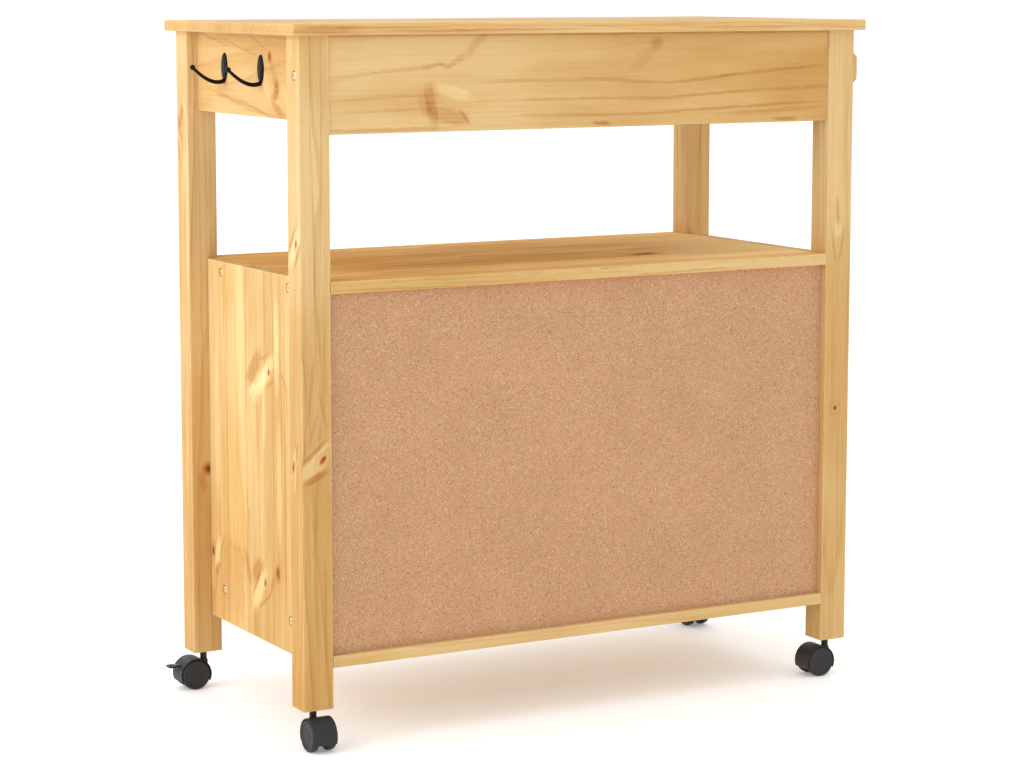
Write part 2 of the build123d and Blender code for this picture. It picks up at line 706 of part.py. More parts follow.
def strike():
    """The steel plate on the door that meets the magnetic catch."""
    x0, x1 = CATCH_X[0] + STRIKE_INSET, CATCH_X[1] - STRIKE_INSET
    z1 = DOOR_TOP - STRIKE_DROP
    return block(x0, x1, FACE_BACK_Y, FACE_BACK_Y + STRIKE_THICK, SHELF_UNDER - CATCH_HEIGHT, z1)


# ---- Casters ----


def hood_round(radius, half):
    """A disc about the wheels' axis."""
    return rod((TRAIL, -half, WHEEL_RADIUS), (0, 1, 0), radius, 2 * half)


def swivel(braked):
    """A hooded housing, with the stem it turns on and the axle through its web."""
    shell = hood_round(HOOD_RADIUS, HOOD_HALF) - hood_round(HOOD_INNER, HOOD_HALF)
    web = hood_round(HOOD_INNER, WEB_HALF)
    boss = rod((0, 0, BOSS_BOTTOM), (0, 0, 1), BOSS_RADIUS, BOSS_TOP - BOSS_BOTTOM)
    housing = shell + web + boss
    span = HOOD_RADIUS * 2
    housing -= block(-span, TRAIL + span, -span, span, HOOD_BOTTOM - span, HOOD_BOTTOM)
    stem = rod((0, 0, STEM_BOTTOM), (0, 0, 1), STEM_RADIUS, STEM_TOP - STEM_BOTTOM)
    axle = rod((TRAIL, -AXLE_HALF, WHEEL_RADIUS), (0, 1, 0), AXLE_RADIUS, 2 * AXLE_HALF)
    housing -= [stem, axle]
    if not braked:
        return [housing, stem, axle]
    slot_end = TRAIL + span
    housing -= block(
        LEVER_SLOT_START, slot_end, -LEVER_SLOT_HALF, LEVER_SLOT_HALF, LEVER_SLOT_BOTTOM, LEVER_SLOT_TOP
    )
    pin = rod((LEVER_PIVOT_X, -WEB_HALF, LEVER_Z), (0, 1, 0), LEVER_PIN_RADIUS, 2 * WEB_HALF)
    housing -= pin
    return [housing, stem, axle, pin]


def wheel(sy):
    """A caster wheel with rounded tread edges and a shallow dish in its outer face."""
    inner, outer = WHEEL_MID_Y - WHEEL_WIDTH / 2, WHEEL_MID_Y + WHEEL_WIDTH / 2
    disc = rod((TRAIL, sy * inner, WHEEL_RADIUS), (0, sy, 0), WHEEL_RADIUS, WHEEL_WIDTH)
    disc = fillet(disc.edges().filter_by(GeomType.CIRCLE), WHEEL_ROUND)
    dish_start = (TRAIL, sy * (outer - WHEEL_DISH), WHEEL_RADIUS)
    disc -= rod(dish_start, (0, sy, 0), WHEEL_DISH_RADIUS, WHEEL_DISH)
    bore_length = AXLE_HALF + AXLE_END_SPARE - inner
    return disc - rod((TRAIL, sy * inner, WHEEL_RADIUS), (0, sy, 0), AXLE_RADIUS + RUNNING, bore_length)


def brake_lever():
    """A foot pedal on a short arm, pivoted inside the housing."""
    low, high = LEVER_Z - LEVER_THICK / 2, LEVER_Z + LEVER_THICK / 2
    arm = block(LEVER_PIVOT_X, PEDAL_START, -LEVER_HALF, LEVER_HALF, low, high)
    pedal = block(PEDAL_START, PEDAL_END, -PEDAL_HALF, PEDAL_HALF, low, high)
    pedal = eased(pedal, Axis.Z, PEDAL_ROUND)
    pivot = (LEVER_PIVOT_X, -LEVER_HALF, LEVER_Z)
    barrel = rod(pivot, (0, 1, 0), LEVER_BARREL_RADIUS, 2 * LEVER_HALF)
    lever = arm + pedal + barrel
    return lever - rod(pivot, (0, 1, 0), LEVER_PIN_RADIUS + RUNNING, 2 * LEVER_HALF)


# ---- Write every piece ----

os.makedirs("parts", exist_ok=True)

write("worktop", worktop())
for side, sx in SIDES.items():
    write("leg_front_" + side, leg(sx, -1))
    write("leg_rear_" + side, leg(sx, 1))
    write("side_apron_" + side, side_apron(sx))
    write("side_panel_" + side, side_panel(sx))
write("rear_apron", rear_apron())
write("shelf", ribbed_board(-LEG_OUT_Y, LEG_OUT_Y, SHELF_TOP))
write("cabinet_floor", ribbed_board(FACE_BACK_Y + DOOR_BUFFER, BACK_IN_Y, FLOOR_TOP))
write("bottom_rails", bottom_rail(-1), bottom_rail(1))
write("back_panel", back_panel())
write("drawer_rail", drawer_rail())
write("drawer_post", drawer_post())
write("drawer_divider", drawer_divider())
write("drawer_runners", *drawer_runners())
write("dowels", *dowels)
write("frame_bolts", *bolts)
write("barrel_nuts", *nuts)
write("screws", *screws)
write("worktop_brackets", *[bracket(*place) for place in bracket_places()])
write("caster_sockets", *[caster_socket(sx, sy) for sx in SIDES.values() for sy in SIDES.values()])
write("door_catches", *[catch(sx) for sx in SIDES.values()])
write("hook_front", hook(HOOK_Y[0]))
write("hook_rear", hook(HOOK_Y[1]))
write("towel_brackets", towel_bracket(-TOWEL_Y), towel_bracket(TOWEL_Y))
write("towel_bar", towel_bar())

right_fixed = [fixed_leaf(z) for z in HINGE_Z]
left_fixed = [mirror(half, about=Plane.YZ) for half in right_fixed]
write("hinge_leaves", *right_fixed, *left_fixed)

right_pieces = {
    "drawer_{}_front": [drawer_front()],
    "drawer_{}_box": drawer_box(),
    "drawer_{}_bottom": [drawer_bottom()],
    "drawer_{}_knob": [knob(DRAWER_MID_X, DRAWER_MID_Z)],
    "door_{}_frame": door_frame(),
    "door_{}_panel": [door_opening(DOOR_PANEL_SPARE)],
    "door_{}_knob": [knob(KNOB_X_DOOR, KNOB_Z_DOOR)],
    "door_{}_hardware": [moving_leaf(z) for z in HINGE_Z] + [strike()],
}
for name, solids in right_pieces.items():
    write(name.format("right"), *solids)
    write(name.format("left"), *[mirror(solid, about=Plane.YZ) for solid in solids])

for name, (x, y, heading, braked) in CASTERS.items():
    place = Pos(x, y, 0) * Rot(0, 0, heading)
    write("caster_" + name + "_swivel", *[place * solid for solid in swivel(braked)])
    write("caster_" + name + "_wheel_a", place * wheel(-1))
    write("caster_" + name + "_wheel_b", place * wheel(1))
    if braked:
        write("caster_" + name + "_lever", place * brake_lever())
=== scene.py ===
import json
from math import copysign, cos, pi, radians, sin, tau

import bmesh
import bpy
from mathutils import Matrix, Vector


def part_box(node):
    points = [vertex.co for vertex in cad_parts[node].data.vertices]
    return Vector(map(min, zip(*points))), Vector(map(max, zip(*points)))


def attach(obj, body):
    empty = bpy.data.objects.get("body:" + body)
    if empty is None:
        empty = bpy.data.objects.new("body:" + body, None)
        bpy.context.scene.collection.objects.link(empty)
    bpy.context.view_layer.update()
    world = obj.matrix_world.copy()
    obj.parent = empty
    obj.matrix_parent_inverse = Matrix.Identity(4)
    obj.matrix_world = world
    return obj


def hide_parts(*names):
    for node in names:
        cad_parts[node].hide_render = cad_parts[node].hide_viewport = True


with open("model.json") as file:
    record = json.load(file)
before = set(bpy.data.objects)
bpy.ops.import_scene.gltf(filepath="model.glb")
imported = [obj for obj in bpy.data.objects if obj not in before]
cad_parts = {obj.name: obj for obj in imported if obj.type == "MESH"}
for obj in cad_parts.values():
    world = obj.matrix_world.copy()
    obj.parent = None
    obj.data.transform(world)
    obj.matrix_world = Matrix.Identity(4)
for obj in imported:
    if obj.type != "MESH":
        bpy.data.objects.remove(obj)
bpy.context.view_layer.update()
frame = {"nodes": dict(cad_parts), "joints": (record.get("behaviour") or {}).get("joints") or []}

MM = 0.001
AXES = "xyz"
JOINTS = {joint["name"]: joint for joint in frame["joints"]}


# ---- shader helpers


def srgb(red, green, blue):
    """A linear colour from 8-bit screen values."""

    def linear(value):
        value /= 255
        return value / 12.92 if value <= 0.04045 else ((value + 0.055) / 1.055) ** 2.4

    return (linear(red), linear(green), linear(blue), 1.0)


class Graph:
    """Short names for building a shader's nodes."""

    def __init__(self, tree):
        self.tree = tree

    def feed(self, socket, value):
        if isinstance(value, bpy.types.NodeSocket):
            self.tree.links.new(value, socket)
        else:
            socket.default_value = value

    def node(self, kind, inputs=(), **settings):
        made = self.tree.nodes.new("ShaderNode" + kind)
        for key, value in settings.items():
            setattr(made, key, value)
        for key, value in dict(inputs).items():
            self.feed(made.inputs[key], value)
        return made

    def math(self, operation, *values, clamp=False):
        settings = {"operation": operation, "use_clamp": clamp}
        return self.node("Math", enumerate(values), **settings).outputs[0]

    def times(self, a, b, clamp=False):
        return self.math("MULTIPLY", a, b, clamp=clamp)

    def less(self, a, b):
        return self.math("SUBTRACT", a, b)

    def times_plus(self, a, b, c):
        """a times b, plus c."""
        return self.math("MULTIPLY_ADD", a, b, c)

    def around(self, value, spread):
        """A share from 0 to 1 as a step of up to half the spread either way."""
        return self.times_plus(value, spread, -spread / 2)

    def vector(self, operation, *values):
        made = self.node("VectorMath", enumerate(values), operation=operation)
        return made.outputs[1 if operation in ("DOT_PRODUCT", "LENGTH") else 0]

    def scaled(self, vector, factor):
        return self.node("VectorMath", {0: vector, 3: factor}, operation="SCALE").outputs[0]

    def split(self, vector):
        return self.node("SeparateXYZ", {0: vector}).outputs

    def join(self, x, y, z):
        return self.node("CombineXYZ", {0: x, 1: y, 2: z}).outputs[0]

    def noise(self, vector, detail=2.0, rough=0.5, color=False, scale=1.0):
        inputs = {"Vector": vector, "Scale": scale, "Detail": detail, "Roughness": rough}
        return self.node("TexNoise", inputs).outputs["Color" if color else "Fac"]

    def drawn_out(self, point, scales, **settings):
        """Noise with one scale along the grain and another across it."""
        along, across = scales
        return self.noise(self.vector("MULTIPLY", point, (along, across, across)), **settings)

    def span(self, value, low, high, to_low=0.0, to_high=1.0):
        """A smooth step of value from low to high."""
        inputs = enumerate((value, low, high, to_low, to_high))
        return self.node("MapRange", inputs, interpolation_type="SMOOTHSTEP").outputs[0]

    def mix(self, factor, a, b, blend="MIX"):
        inputs = {0: factor, 6: a, 7: b}
        return self.node("Mix", inputs, data_type="RGBA", blend_type=blend).outputs[2]

    def tint(self, color, *tints):
        """The colour under a row of tints, each an amount, its share and its shade."""
        for amount, share, shade in tints:
            color = self.mix(self.times(amount, share), color, shade)
        return color

    def bump(self, height, strength, distance):
        inputs = {"Height": height, "Strength": strength, "Distance": distance}
        return self.node("Bump", inputs).outputs[0]


# The group sockets that carry a vector or a colour. The others carry one number.
KINDS = dict.fromkeys("Point Centre Way Size Half Apex Shape Pith Lean".split(), "Vector")
KINDS["Color"] = "Color"


def node_group(name, build, labels):
    """A node group with the labelled inputs, and the outputs that build(graph, *inputs) returns."""
    tree = bpy.data.node_groups.new(name, "ShaderNodeTree")
    graph = Graph(tree)

    def add_socket(label, way):
        kind = "NodeSocket" + KINDS.get(label, "Float")
        tree.interface.new_socket(label, in_out=way, socket_type=kind)

    for label in labels.split():
        add_socket(label, "INPUT")
    made = build(graph, *list(tree.nodes.new("NodeGroupInput").outputs)[:-1])
    for label in made:
        add_socket(label, "OUTPUT")
    end = tree.nodes.new("NodeGroupOutput").inputs
    for label, value in made.items():
        graph.feed(end[label], value)
    return tree


def surface(name, build):
    """A material whose Principled shader gets the settings that build(graph) returns."""
    material = bpy.data.materials.new(name)
    material.use_nodes = True
    tree = material.node_tree
    tree.nodes.clear()
    graph = Graph(tree)
    shader = graph.node("BsdfPrincipled", build(graph))
    graph.node("OutputMaterial", {"Surface": shader.outputs[0]})
    return material


# ---- pine

PINE_PALE = srgb(238, 216, 163)
PINE_LIGHT = srgb(219, 188, 135)
PINE_HONEY = srgb(207, 169, 111)
PINE_LATE = srgb(178, 126, 66)
PINE_BROWN = srgb(176, 118, 62)
# Glue lines, and the painted shade along every face edge.
PINE_GLUE_AND_SHADE = srgb(112, 72, 38)
KNOT_RED = srgb(164, 84, 42)
KNOT_DARK = srgb(96, 50, 28)
PINE_WARMTH = (0.80, 0.65, 0.43, 1.0)
FAR = 10.0  # a knot's distance where there is none, in its radii

# Noise scales along and across the grain, per millimetre.
WANDER = (0.0035, 0.012)
RIPPLE = (0.01, 0.12)
FIBRE = (0.035, 2.0)
STREAK = (0.006, 0.3)
FLECK = (0.13, 0.9)
PATCH = (0.004, 0.015)
FLAME = (0.035, 0.07)
ARCH_EDGE = (0.02, 0.06)
ARCH_STREAK = (0.008, 0.14)

# What differs from stave to stave: the pith's place, the grain's lean and the tone.
PITH_SPREAD = 90.0
PITH_DEPTH = (22.0, 70.0)  # the least, and what is added at most
LEAN_SPREAD = 0.06
TONE_SPREAD = 1.2
STAVE_SHIFT = 0.37  # how much of a stave the cuts move for each step of the seed
STAVE_KEY = 7.13


def bend_round_knot(g, point, near, eye, centre, way, size, share):
    """Bends the grain round one knot, as a stream bends round a post, and measures its distance."""
    radius, stretch, skew = g.split(size)
    offset = g.vector("SUBTRACT", point, centre)
    across = g.vector("DOT_PRODUCT", offset, way)
    slant = g.less(g.split(offset)[0], g.times(skew, across))
    along = g.math("DIVIDE", slant, stretch)
    uneven = g.times_plus(g.noise(g.scaled(offset, 0.07)), 0.7, 0.65)
    reach = g.times(g.vector("LENGTH", g.join(along, across, 0.0)), uneven)
    held = g.math("MAXIMUM", reach, radius)
    push = g.times(g.math("POWER", g.math("DIVIDE", radius, held), 2.0), across)
    here = g.math("DIVIDE", reach, radius)
    return {
        "Point": g.vector("SUBTRACT", point, g.scaled(way, push)),
        "Near": g.math("MINIMUM", near, here),
        "Eye": g.math("MINIMUM", eye, g.math("DIVIDE", here, share)),
    }


def add_mark(g, point, stain, centre, way, half):
    """Adds one soft streak, brown where its strength is positive and pale where it is negative."""
    long, wide, strength = g.split(half)
    way_x, way_y, _ = g.split(way)
    offset = g.vector("SUBTRACT", point, centre)
    along = g.vector("DOT_PRODUCT", offset, way)
    across = g.vector("DOT_PRODUCT", offset, g.join(g.times(way_y, -1.0), way_x, 0.0))
    place = g.join(g.times(along, 0.05), g.times(across, 0.2), 0.0)
    place = g.vector("ADD", place, g.scaled(centre, 0.37))
    ragged = g.less(g.noise(place, detail=3.0), 0.5)
    across = g.times_plus(ragged, g.times_plus(wide, 0.9, 1.5), across)
    shares = [g.math("DIVIDE", *pair) for pair in ((along, long), (across, wide))]
    cubes = [g.math("POWER", g.math("ABSOLUTE", share), 3.0) for share in shares]
    reach = g.math("POWER", g.math("ADD", *cubes), 1 / 3)
    reach = g.times_plus(ragged, 0.5, reach)
    made = g.times(g.span(reach, 1.15, 0.45), strength)
    return {"Stain": g.math("ADD", stain, made)}


def add_arch(g, point, stain, apex, shape):
    """Adds one arch of flat-sawn figure, brown inside its tip and fading away from it."""
    sharp, reach, strength = g.split(shape)
    tip, middle, way = g.split(apex)
    along, across, _ = g.split(point)
    side = g.less(across, middle)
    inside = g.times(g.less(tip, along), way)
    inside = g.less(inside, g.times(sharp, g.times(side, side)))
    ragged = g.drawn_out(point, ARCH_EDGE)
    inside = g.times_plus(g.less(ragged, 0.5), 26.0, inside)
    body = g.times(g.span(inside, 0.0, 5.0), g.span(inside, reach, 4.0))
    streaks = g.drawn_out(point, ARCH_STREAK, detail=3.0)
    body = g.times(body, g.span(streaks, 0.3, 0.65))
    return {"Stain": g.times_plus(body, strength, stain)}


def cut_staves(g, across, width, seed):
    """Cuts a glued board into staves, each from its own log, with the glue line between them."""
    shift = g.times(seed, STAVE_SHIFT)
    place = g.math("ADD", g.math("DIVIDE", across, width), shift)
    index = g.math("FLOOR", place)
    key = g.math("ADD", index, g.times(seed, STAVE_KEY))
    drawn = g.node("TexWhiteNoise", {"W": key}, noise_dimensions="1D").outputs["Color"]
    first, second, third = g.split(drawn)
    middle = g.times(g.less(g.math("ADD", index, 0.5), shift), width)
    pith_across = g.math("ADD", middle, g.around(first, PITH_SPREAD))
    nearest, depth = PITH_DEPTH
    from_line = g.times(g.math("PINGPONG", place, 0.5), width)
    return {
        "Pith": g.join(0.0, pith_across, g.times_plus(second, depth, nearest)),
        "Lean": g.join(0.0, g.around(third, LEAN_SPREAD), LEAN_SPREAD / 2),
        "Tone": g.around(second, TONE_SPREAD),
        "Glue": g.span(from_line, 0.8, 0.15),
    }


def grow_pine(
    g, point, pith, lean, near, eye, stain, edge, end, ring, seed, tone, warm, figure, streaky, glue
):
    """Pine's rings, fibres, knots, glue lines, edges and end grain, from a point in millimetres."""
    shifted = g.vector("ADD", point, g.scaled((71.0, 23.0, 41.0), seed))

    # Growth rings: the distance from a leaning, wandering pith line.
    wander = g.drawn_out(shifted, WANDER, detail=1.0, color=True)
    wander = g.vector("MULTIPLY", g.vector("SUBTRACT", wander, (0.5, 0.5, 0.5)), (0.0, 24.0, 24.0))
    pith = g.vector("ADD", pith, g.scaled(lean, g.split(point)[0]))
    away = g.vector("SUBTRACT", g.vector("ADD", point, wander), pith)
    radius = g.vector("LENGTH", g.vector("MULTIPLY", away, (0.0, 1.0, 1.0)))
    count = g.math("DIVIDE", radius, ring)
    count = g.times_plus(g.drawn_out(shifted, RIPPLE), 0.3, count)
    phase = g.math("FRACT", count)
    index = g.math("ADD", g.math("FLOOR", count), seed)
    year = g.node("TexWhiteNoise", {"W": index}, noise_dimensions="1D").outputs["Value"]
    late = g.times(g.span(phase, 0.3, 0.93), g.span(phase, 1.0, 0.94))
    line = g.times(g.span(phase, 0.8, 0.93), g.span(phase, 1.0, 0.95))
    late = g.times_plus(line, 0.8, g.times(late, 0.5))
    late = g.times(late, g.times_plus(year, 0.8, 0.2))
    late = g.times(late, g.times_plus(end, -0.6, 1.0))

    # Fibres, short pale flecks and slow patches of colour.
    fine = g.drawn_out(shifted, FIBRE, detail=3.0, rough=0.7)
    streak = g.drawn_out(shifted, STREAK, detail=3.0, rough=0.6)
    fleck = g.span(g.drawn_out(shifted, FLECK, detail=1.0), 0.64, 0.8)
    patch = g.span(g.drawn_out(shifted, PATCH), 0.32, 0.68)
    color = g.tint(
        g.mix(patch, PINE_LIGHT, PINE_HONEY),
        (late, figure, PINE_LATE),
        (g.span(streak, 0.5, 0.8), streaky, PINE_LATE),
        (g.span(streak, 0.45, 0.2), 0.35, PINE_PALE),
        (fleck, 0.32, PINE_PALE),
    )
    shade = g.times_plus(g.less(fine, 0.5), 0.3, 1.0)
    shade = g.times_plus(tone, 0.12, shade)
    color = g.mix(1.0, color, g.join(shade, shade, shade), blend="MULTIPLY")

    # Brown and pale streaks of the board's own figure, with the painted shade lines and painted
    # pools of light that are given as marks.
    uneven = g.times_plus(g.span(streak, 0.3, 0.7), 0.3, 0.7)
    color = g.mix(g.times(stain, uneven, clamp=True), color, PINE_BROWN)
    color = g.mix(g.times(stain, -1.0, clamp=True), color, PINE_PALE)

    # Knots: brown flames outside, a pale almond with faint rings inside, a red and dark eye.
    patchy = g.drawn_out(shifted, FLAME)
    flame = g.times(g.span(near, 0.85, 1.15), g.span(near, 1.9, 1.15))
    inside = g.span(near, 1.1, 0.7)
    swirl = g.span(g.math("SINE", g.times(near, 17.0)), 0.0, 1.0)
    color = g.tint(
        color,
        (g.times(flame, g.span(patchy, 0.35, 0.65)), 0.4, PINE_BROWN),
        (inside, 0.5, PINE_PALE),
        (g.times(inside, swirl), 0.25, PINE_LATE),
        (g.span(eye, 2.2, 1.0), 0.45, PINE_LATE),
        (g.span(eye, 1.3, 0.8), 0.8, KNOT_RED),
        (g.times(g.span(eye, 0.85, 0.2), g.span(patchy, 0.3, 0.6)), 0.75, KNOT_DARK),
    )

    # Warmer parts of the board, then its end grain, glue lines, a painted highlight on the arrises
    # and painted shade in a dark line along every face edge.
    color = g.tint(
        g.mix(warm, color, g.mix(1.0, color, PINE_WARMTH, blend="MULTIPLY")),
        (end, 0.08, PINE_LATE),
        (glue, 0.4, PINE_GLUE_AND_SHADE),
        (g.times(g.span(edge, 3.0, 0.9), g.span(fine, 0.35, 0.6)), 0.25, PINE_PALE),
        (g.span(edge, 0.8, 0.1), 0.5, PINE_GLUE_AND_SHADE),
    )

    rough = g.times_plus(fine, 0.2, 0.46)
    rough = g.less(rough, g.times(late, 0.08))
    rough = g.times_plus(patch, 0.06, g.times_plus(end, 0.15, rough))
    height = g.times_plus(late, 0.5, g.times(fine, 0.5))
    height = g.times_plus(g.span(eye, 1.3, 0.9), 0.5, height)
    return {"Color": color, "Roughness": rough, "Height": g.less(height, glue)}


KNOT = node_group("knot", bend_round_knot, "Point Near Eye Centre Way Size Share")
MARK = node_group("mark", add_mark, "Point Stain Centre Way Half")
ARCH = node_group("arch", add_arch, "Point Stain Apex Shape")
STAVES = node_group("staves", cut_staves, "Across Width Seed")
PINE_INPUTS = "Point Pith Lean Near Eye Stain Edge End Ring Seed Tone Warm Figure Streak Glue"
PINE = node_group("pine", grow_pine, PINE_INPUTS)


def local_point(g, low, high, order):
    """A point on a board, in millimetres from its centre, with its axes taken in the given order.

    With it comes, for each of those axes, how squarely the surface there faces along the axis.
    """
    coordinate = g.node("TexCoord").outputs
    centre = (low + high) / 2
    offset = g.scaled(g.vector("SUBTRACT", coordinate["Object"], centre), 1 / MM)
    parts, normal = g.split(offset), g.split(coordinate["Normal"])
    facing = [g.span(g.math("ABSOLUTE", normal[i]), 0.6, 0.9) for i in order]
    return g.join(*[parts[i] for i in order]), facing


def edge_distance(g, point, half):
    """How far a point on a box's face is from the nearest edge of that face, in millimetres."""
    sides = zip(g.split(point), half)
    gaps = [g.less(size, g.math("ABSOLUTE", part)) for part, size in sides]
    low = g.math("MINIMUM", gaps[0], gaps[1])
    high = g.math("MAXIMUM", gaps[0], gaps[1])
    return g.math("MAXIMUM", low, g.math("MINIMUM", high, gaps[2]))


def mark(along, across, long, wide, percent, angle=0):
    """A streak's place, half length, half width, strength (pale below 0) and angle to the grain."""
    turn = radians(angle)
    way = (cos(turn), sin(turn), 0.0)
    return dict(Centre=(along, across, 0.0), Way=way, Half=(long, wide, percent / 100))


def pine(
    name, low, high, axes, pith=(20, 50), lean=(0.0, 0.03), ring=9.0, seed=0.0, tone=0.0,
    side_tone=0.0, warm=(0.15, 0.15), figure=0.5, streak=0.35, shine=0.06, stave=0, knots=(),
    side_knots=(), marks=(), side_marks=(), arches=(),
):
    """A pine board's material, with the axes of its grain and of its main pair of faces.

    Places are along and across the grain from the board's centre, in millimetres. A knot is its
    place, radius, length over width, slant and the eye's share. Side knots and side marks lie on
    the pair of faces beside the main one. An arch is its tip, the way it opens, its sharpness, its
    reach and its strength.
    """
    first, last = map(AXES.index, axes)
    order = (first, 3 - first - last, last)
    half = [(high[i] - low[i]) / 2 / MM for i in order]

    def build(g):
        raw, (end, side, face_on) = local_point(g, low, high, order)
        state = {"Point": raw, "Near": FAR, "Eye": FAR}
        for axis, drawn in ((2, side_knots), (1, knots)):
            way = Vector([i == axis for i in range(3)])
            for along, across, radius, stretch, skew, eye in drawn:
                centre = way * across + Vector((along, 0, 0))
                state.update(Centre=centre, Way=way, Size=(radius, stretch, skew), Share=eye)
                made = g.node("Group", state, node_tree=KNOT).outputs
                state = {key: made[key] for key in ("Point", "Near", "Eye")}
        parts = g.split(raw)
        stain = 0.0
        for across_part, on, drawn in ((parts[1], face_on, marks), (parts[2], side, side_marks)):
            flat = g.join(parts[0], across_part, 0.0)
            made = 0.0
            for numbers in drawn:
                settings = dict(mark(*numbers), Point=flat, Stain=made)
                made = g.node("Group", settings, node_tree=MARK).outputs[0]
            if drawn:
                stain = g.times_plus(made, on, stain)
        for along, across, way, sharp, reach, strength in arches:
            arch = dict(Apex=(along, across, way), Shape=(sharp, reach, strength))
            arch.update(Point=raw, Stain=stain)
            stain = g.node("Group", arch, node_tree=ARCH).outputs[0]
        wood = dict(state, Stain=stain, Edge=edge_distance(g, raw, half), End=end)
        wood["Warm"] = g.span(g.split(raw)[0], -half[0], half[0], *warm)
        wood.update(Ring=ring, Seed=seed, Figure=figure, Streak=streak)
        if stave:
            cuts = dict(Across=g.split(raw)[1], Width=stave, Seed=seed)
            cut = g.node("Group", cuts, node_tree=STAVES).outputs
            wood.update(Pith=cut["Pith"], Lean=cut["Lean"], Glue=cut["Glue"])
            wood["Tone"] = g.math("ADD", cut["Tone"], g.times_plus(side, side_tone, tone))
        else:
            wood.update(Pith=(0.0, *pith), Lean=(0.0, *lean), Tone=tone, Glue=0.0)
        made = g.node("Group", wood, node_tree=PINE).outputs
        return {
            "Base Color": made["Color"],
            "Roughness": made["Roughness"],
            "Specular IOR Level": shine,
            "Normal": g.bump(made["Height"], 0.3, 0.12 * MM),
        }

    return surface(name, build)


# ---- other materials


def chipboard(name, shades, chip, box):
    """Pressed chips: fine speckle over slow, faint clouds, and painted shade, redder, in patches
    along the rims.
    """
    base, dark, pale = (srgb(*shade) for shade in shades)
    low, high = box
    half = [(high[i] - low[i]) / 2 / MM for i in range(3)]

    def build(g):
        point = g.scaled(g.node("TexCoord").outputs["Object"], 1 / MM)
        turned = g.noise(point, scale=0.35, color=True)
        bent = g.vector("ADD", point, g.scaled(turned, 1.6))
        cells = g.node("TexVoronoi", {"Vector": bent, "Scale": 0.7 / chip}).outputs["Color"]
        value = g.split(cells)[0]
        grain = g.noise(bent, detail=4.0, rough=0.75, scale=0.8 / chip)
        slow = g.noise(point, detail=3.0, scale=0.012)
        edge = edge_distance(g, local_point(g, low, high, range(3))[0], half)
        color = g.tint(
            base,
            (g.span(grain, 0.53, 0.68), 0.6, dark),
            (g.span(grain, 0.48, 0.33), 0.62, pale),
            (g.span(value, 0.88, 0.95), 0.6, dark),
            (g.span(value, 0.12, 0.04), 0.6, pale),
            (g.span(slow, 0.35, 0.7), 0.08, dark),
            (g.times(g.span(edge, 15.0, 3.0), g.span(slow, 0.4, 0.6)), 0.12, PAINTED_RIM_SHADE),
        )
        return {
            "Base Color": color,
            "Specular IOR Level": 0.2,
            "Roughness": g.times_plus(grain, 0.25, 0.58),
            "Normal": g.bump(g.math("ADD", grain, g.times(value, 0.3)), 0.3, 0.15 * MM),
        }

    return surface(name, build)


def moulded(name, base, worn, rough, texture, coat=0.0, metallic=0.0, shine=0.5):
    """Plastic, enamel or plated metal: a fine surface texture, faint clouds and rubbed patches."""
    base, worn = srgb(*base), srgb(*worn)

    def build(g):
        point = g.scaled(g.node("TexCoord").outputs["Object"], 1 / MM)
        fine = g.noise(point, detail=3.0, scale=texture)
        slow = g.noise(point, detail=3.0, scale=0.09)
        scuff = g.noise(g.vector("MULTIPLY", point, (0.25, 1.7, 0.6)), detail=4.0, rough=0.7)
        scuff = g.span(scuff, 0.62, 0.8)
        color = g.tint(base, (slow, 0.5, worn), (scuff, 0.35, worn))
        change = g.times_plus(g.less(slow, 0.5), 0.16, rough)
        change = g.math("ADD", change, g.times(scuff, 0.1))
        return {
            "Base Color": color,
            "Roughness": g.times_plus(g.less(fine, 0.5), 0.1, change),
            "Metallic": metallic,
            "Coat Weight": coat,
            "Coat Roughness": 0.05,
            "Specular IOR Level": shine,
            "Normal": g.bump(fine, 0.25, 0.06 * MM),
        }

    return surface(name, build)


ENAMEL = moulded("black_enamel", (12, 10, 10), (24, 14, 10), 0.35, 1.1, coat=0.12, shine=0.08)
BLACK_STEEL = moulded("blackened_steel", (34, 30, 28), (84, 74, 66), 0.42, 2.4, metallic=0.4)
HOOD = moulded("hood_plastic", (34, 34, 35), (48, 48, 49), 0.5, 2.8, shine=0.3)
WHEEL = moulded("wheel_plastic", (36, 36, 37), (52, 52, 53), 0.5, 2.2, shine=0.3)
TREAD = moulded("wheel_tread", (12, 12, 13), (30, 30, 30), 0.6, 3.2)
ZINC = moulded("zinc_steel", (236, 222, 180), (196, 176, 132), 0.34, 3.0, metallic=0.7)
CATCH = moulded("catch_plastic", (120, 82, 52), (140, 100, 66), 0.45, 2.6)
# The painted shade along the rims of the pressed boards.
PAINTED_RIM_SHADE = srgb(206, 128, 88)
PARTICLE_SHADES = ((187, 143, 106), (122, 80, 52), (226, 190, 150))
HARDBOARD_SHADES = ((150, 108, 72), (112, 76, 48), (176, 134, 94))
PARTICLE = chipboard("particleboard", PARTICLE_SHADES, 0.8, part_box("back_panel"))
HARDBOARDS = {
    side: chipboard("hardboard_" + side, HARDBOARD_SHADES, 0.6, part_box(f"drawer_{side}_bottom"))
    for side in ("right", "left")
}


# ---- the boards

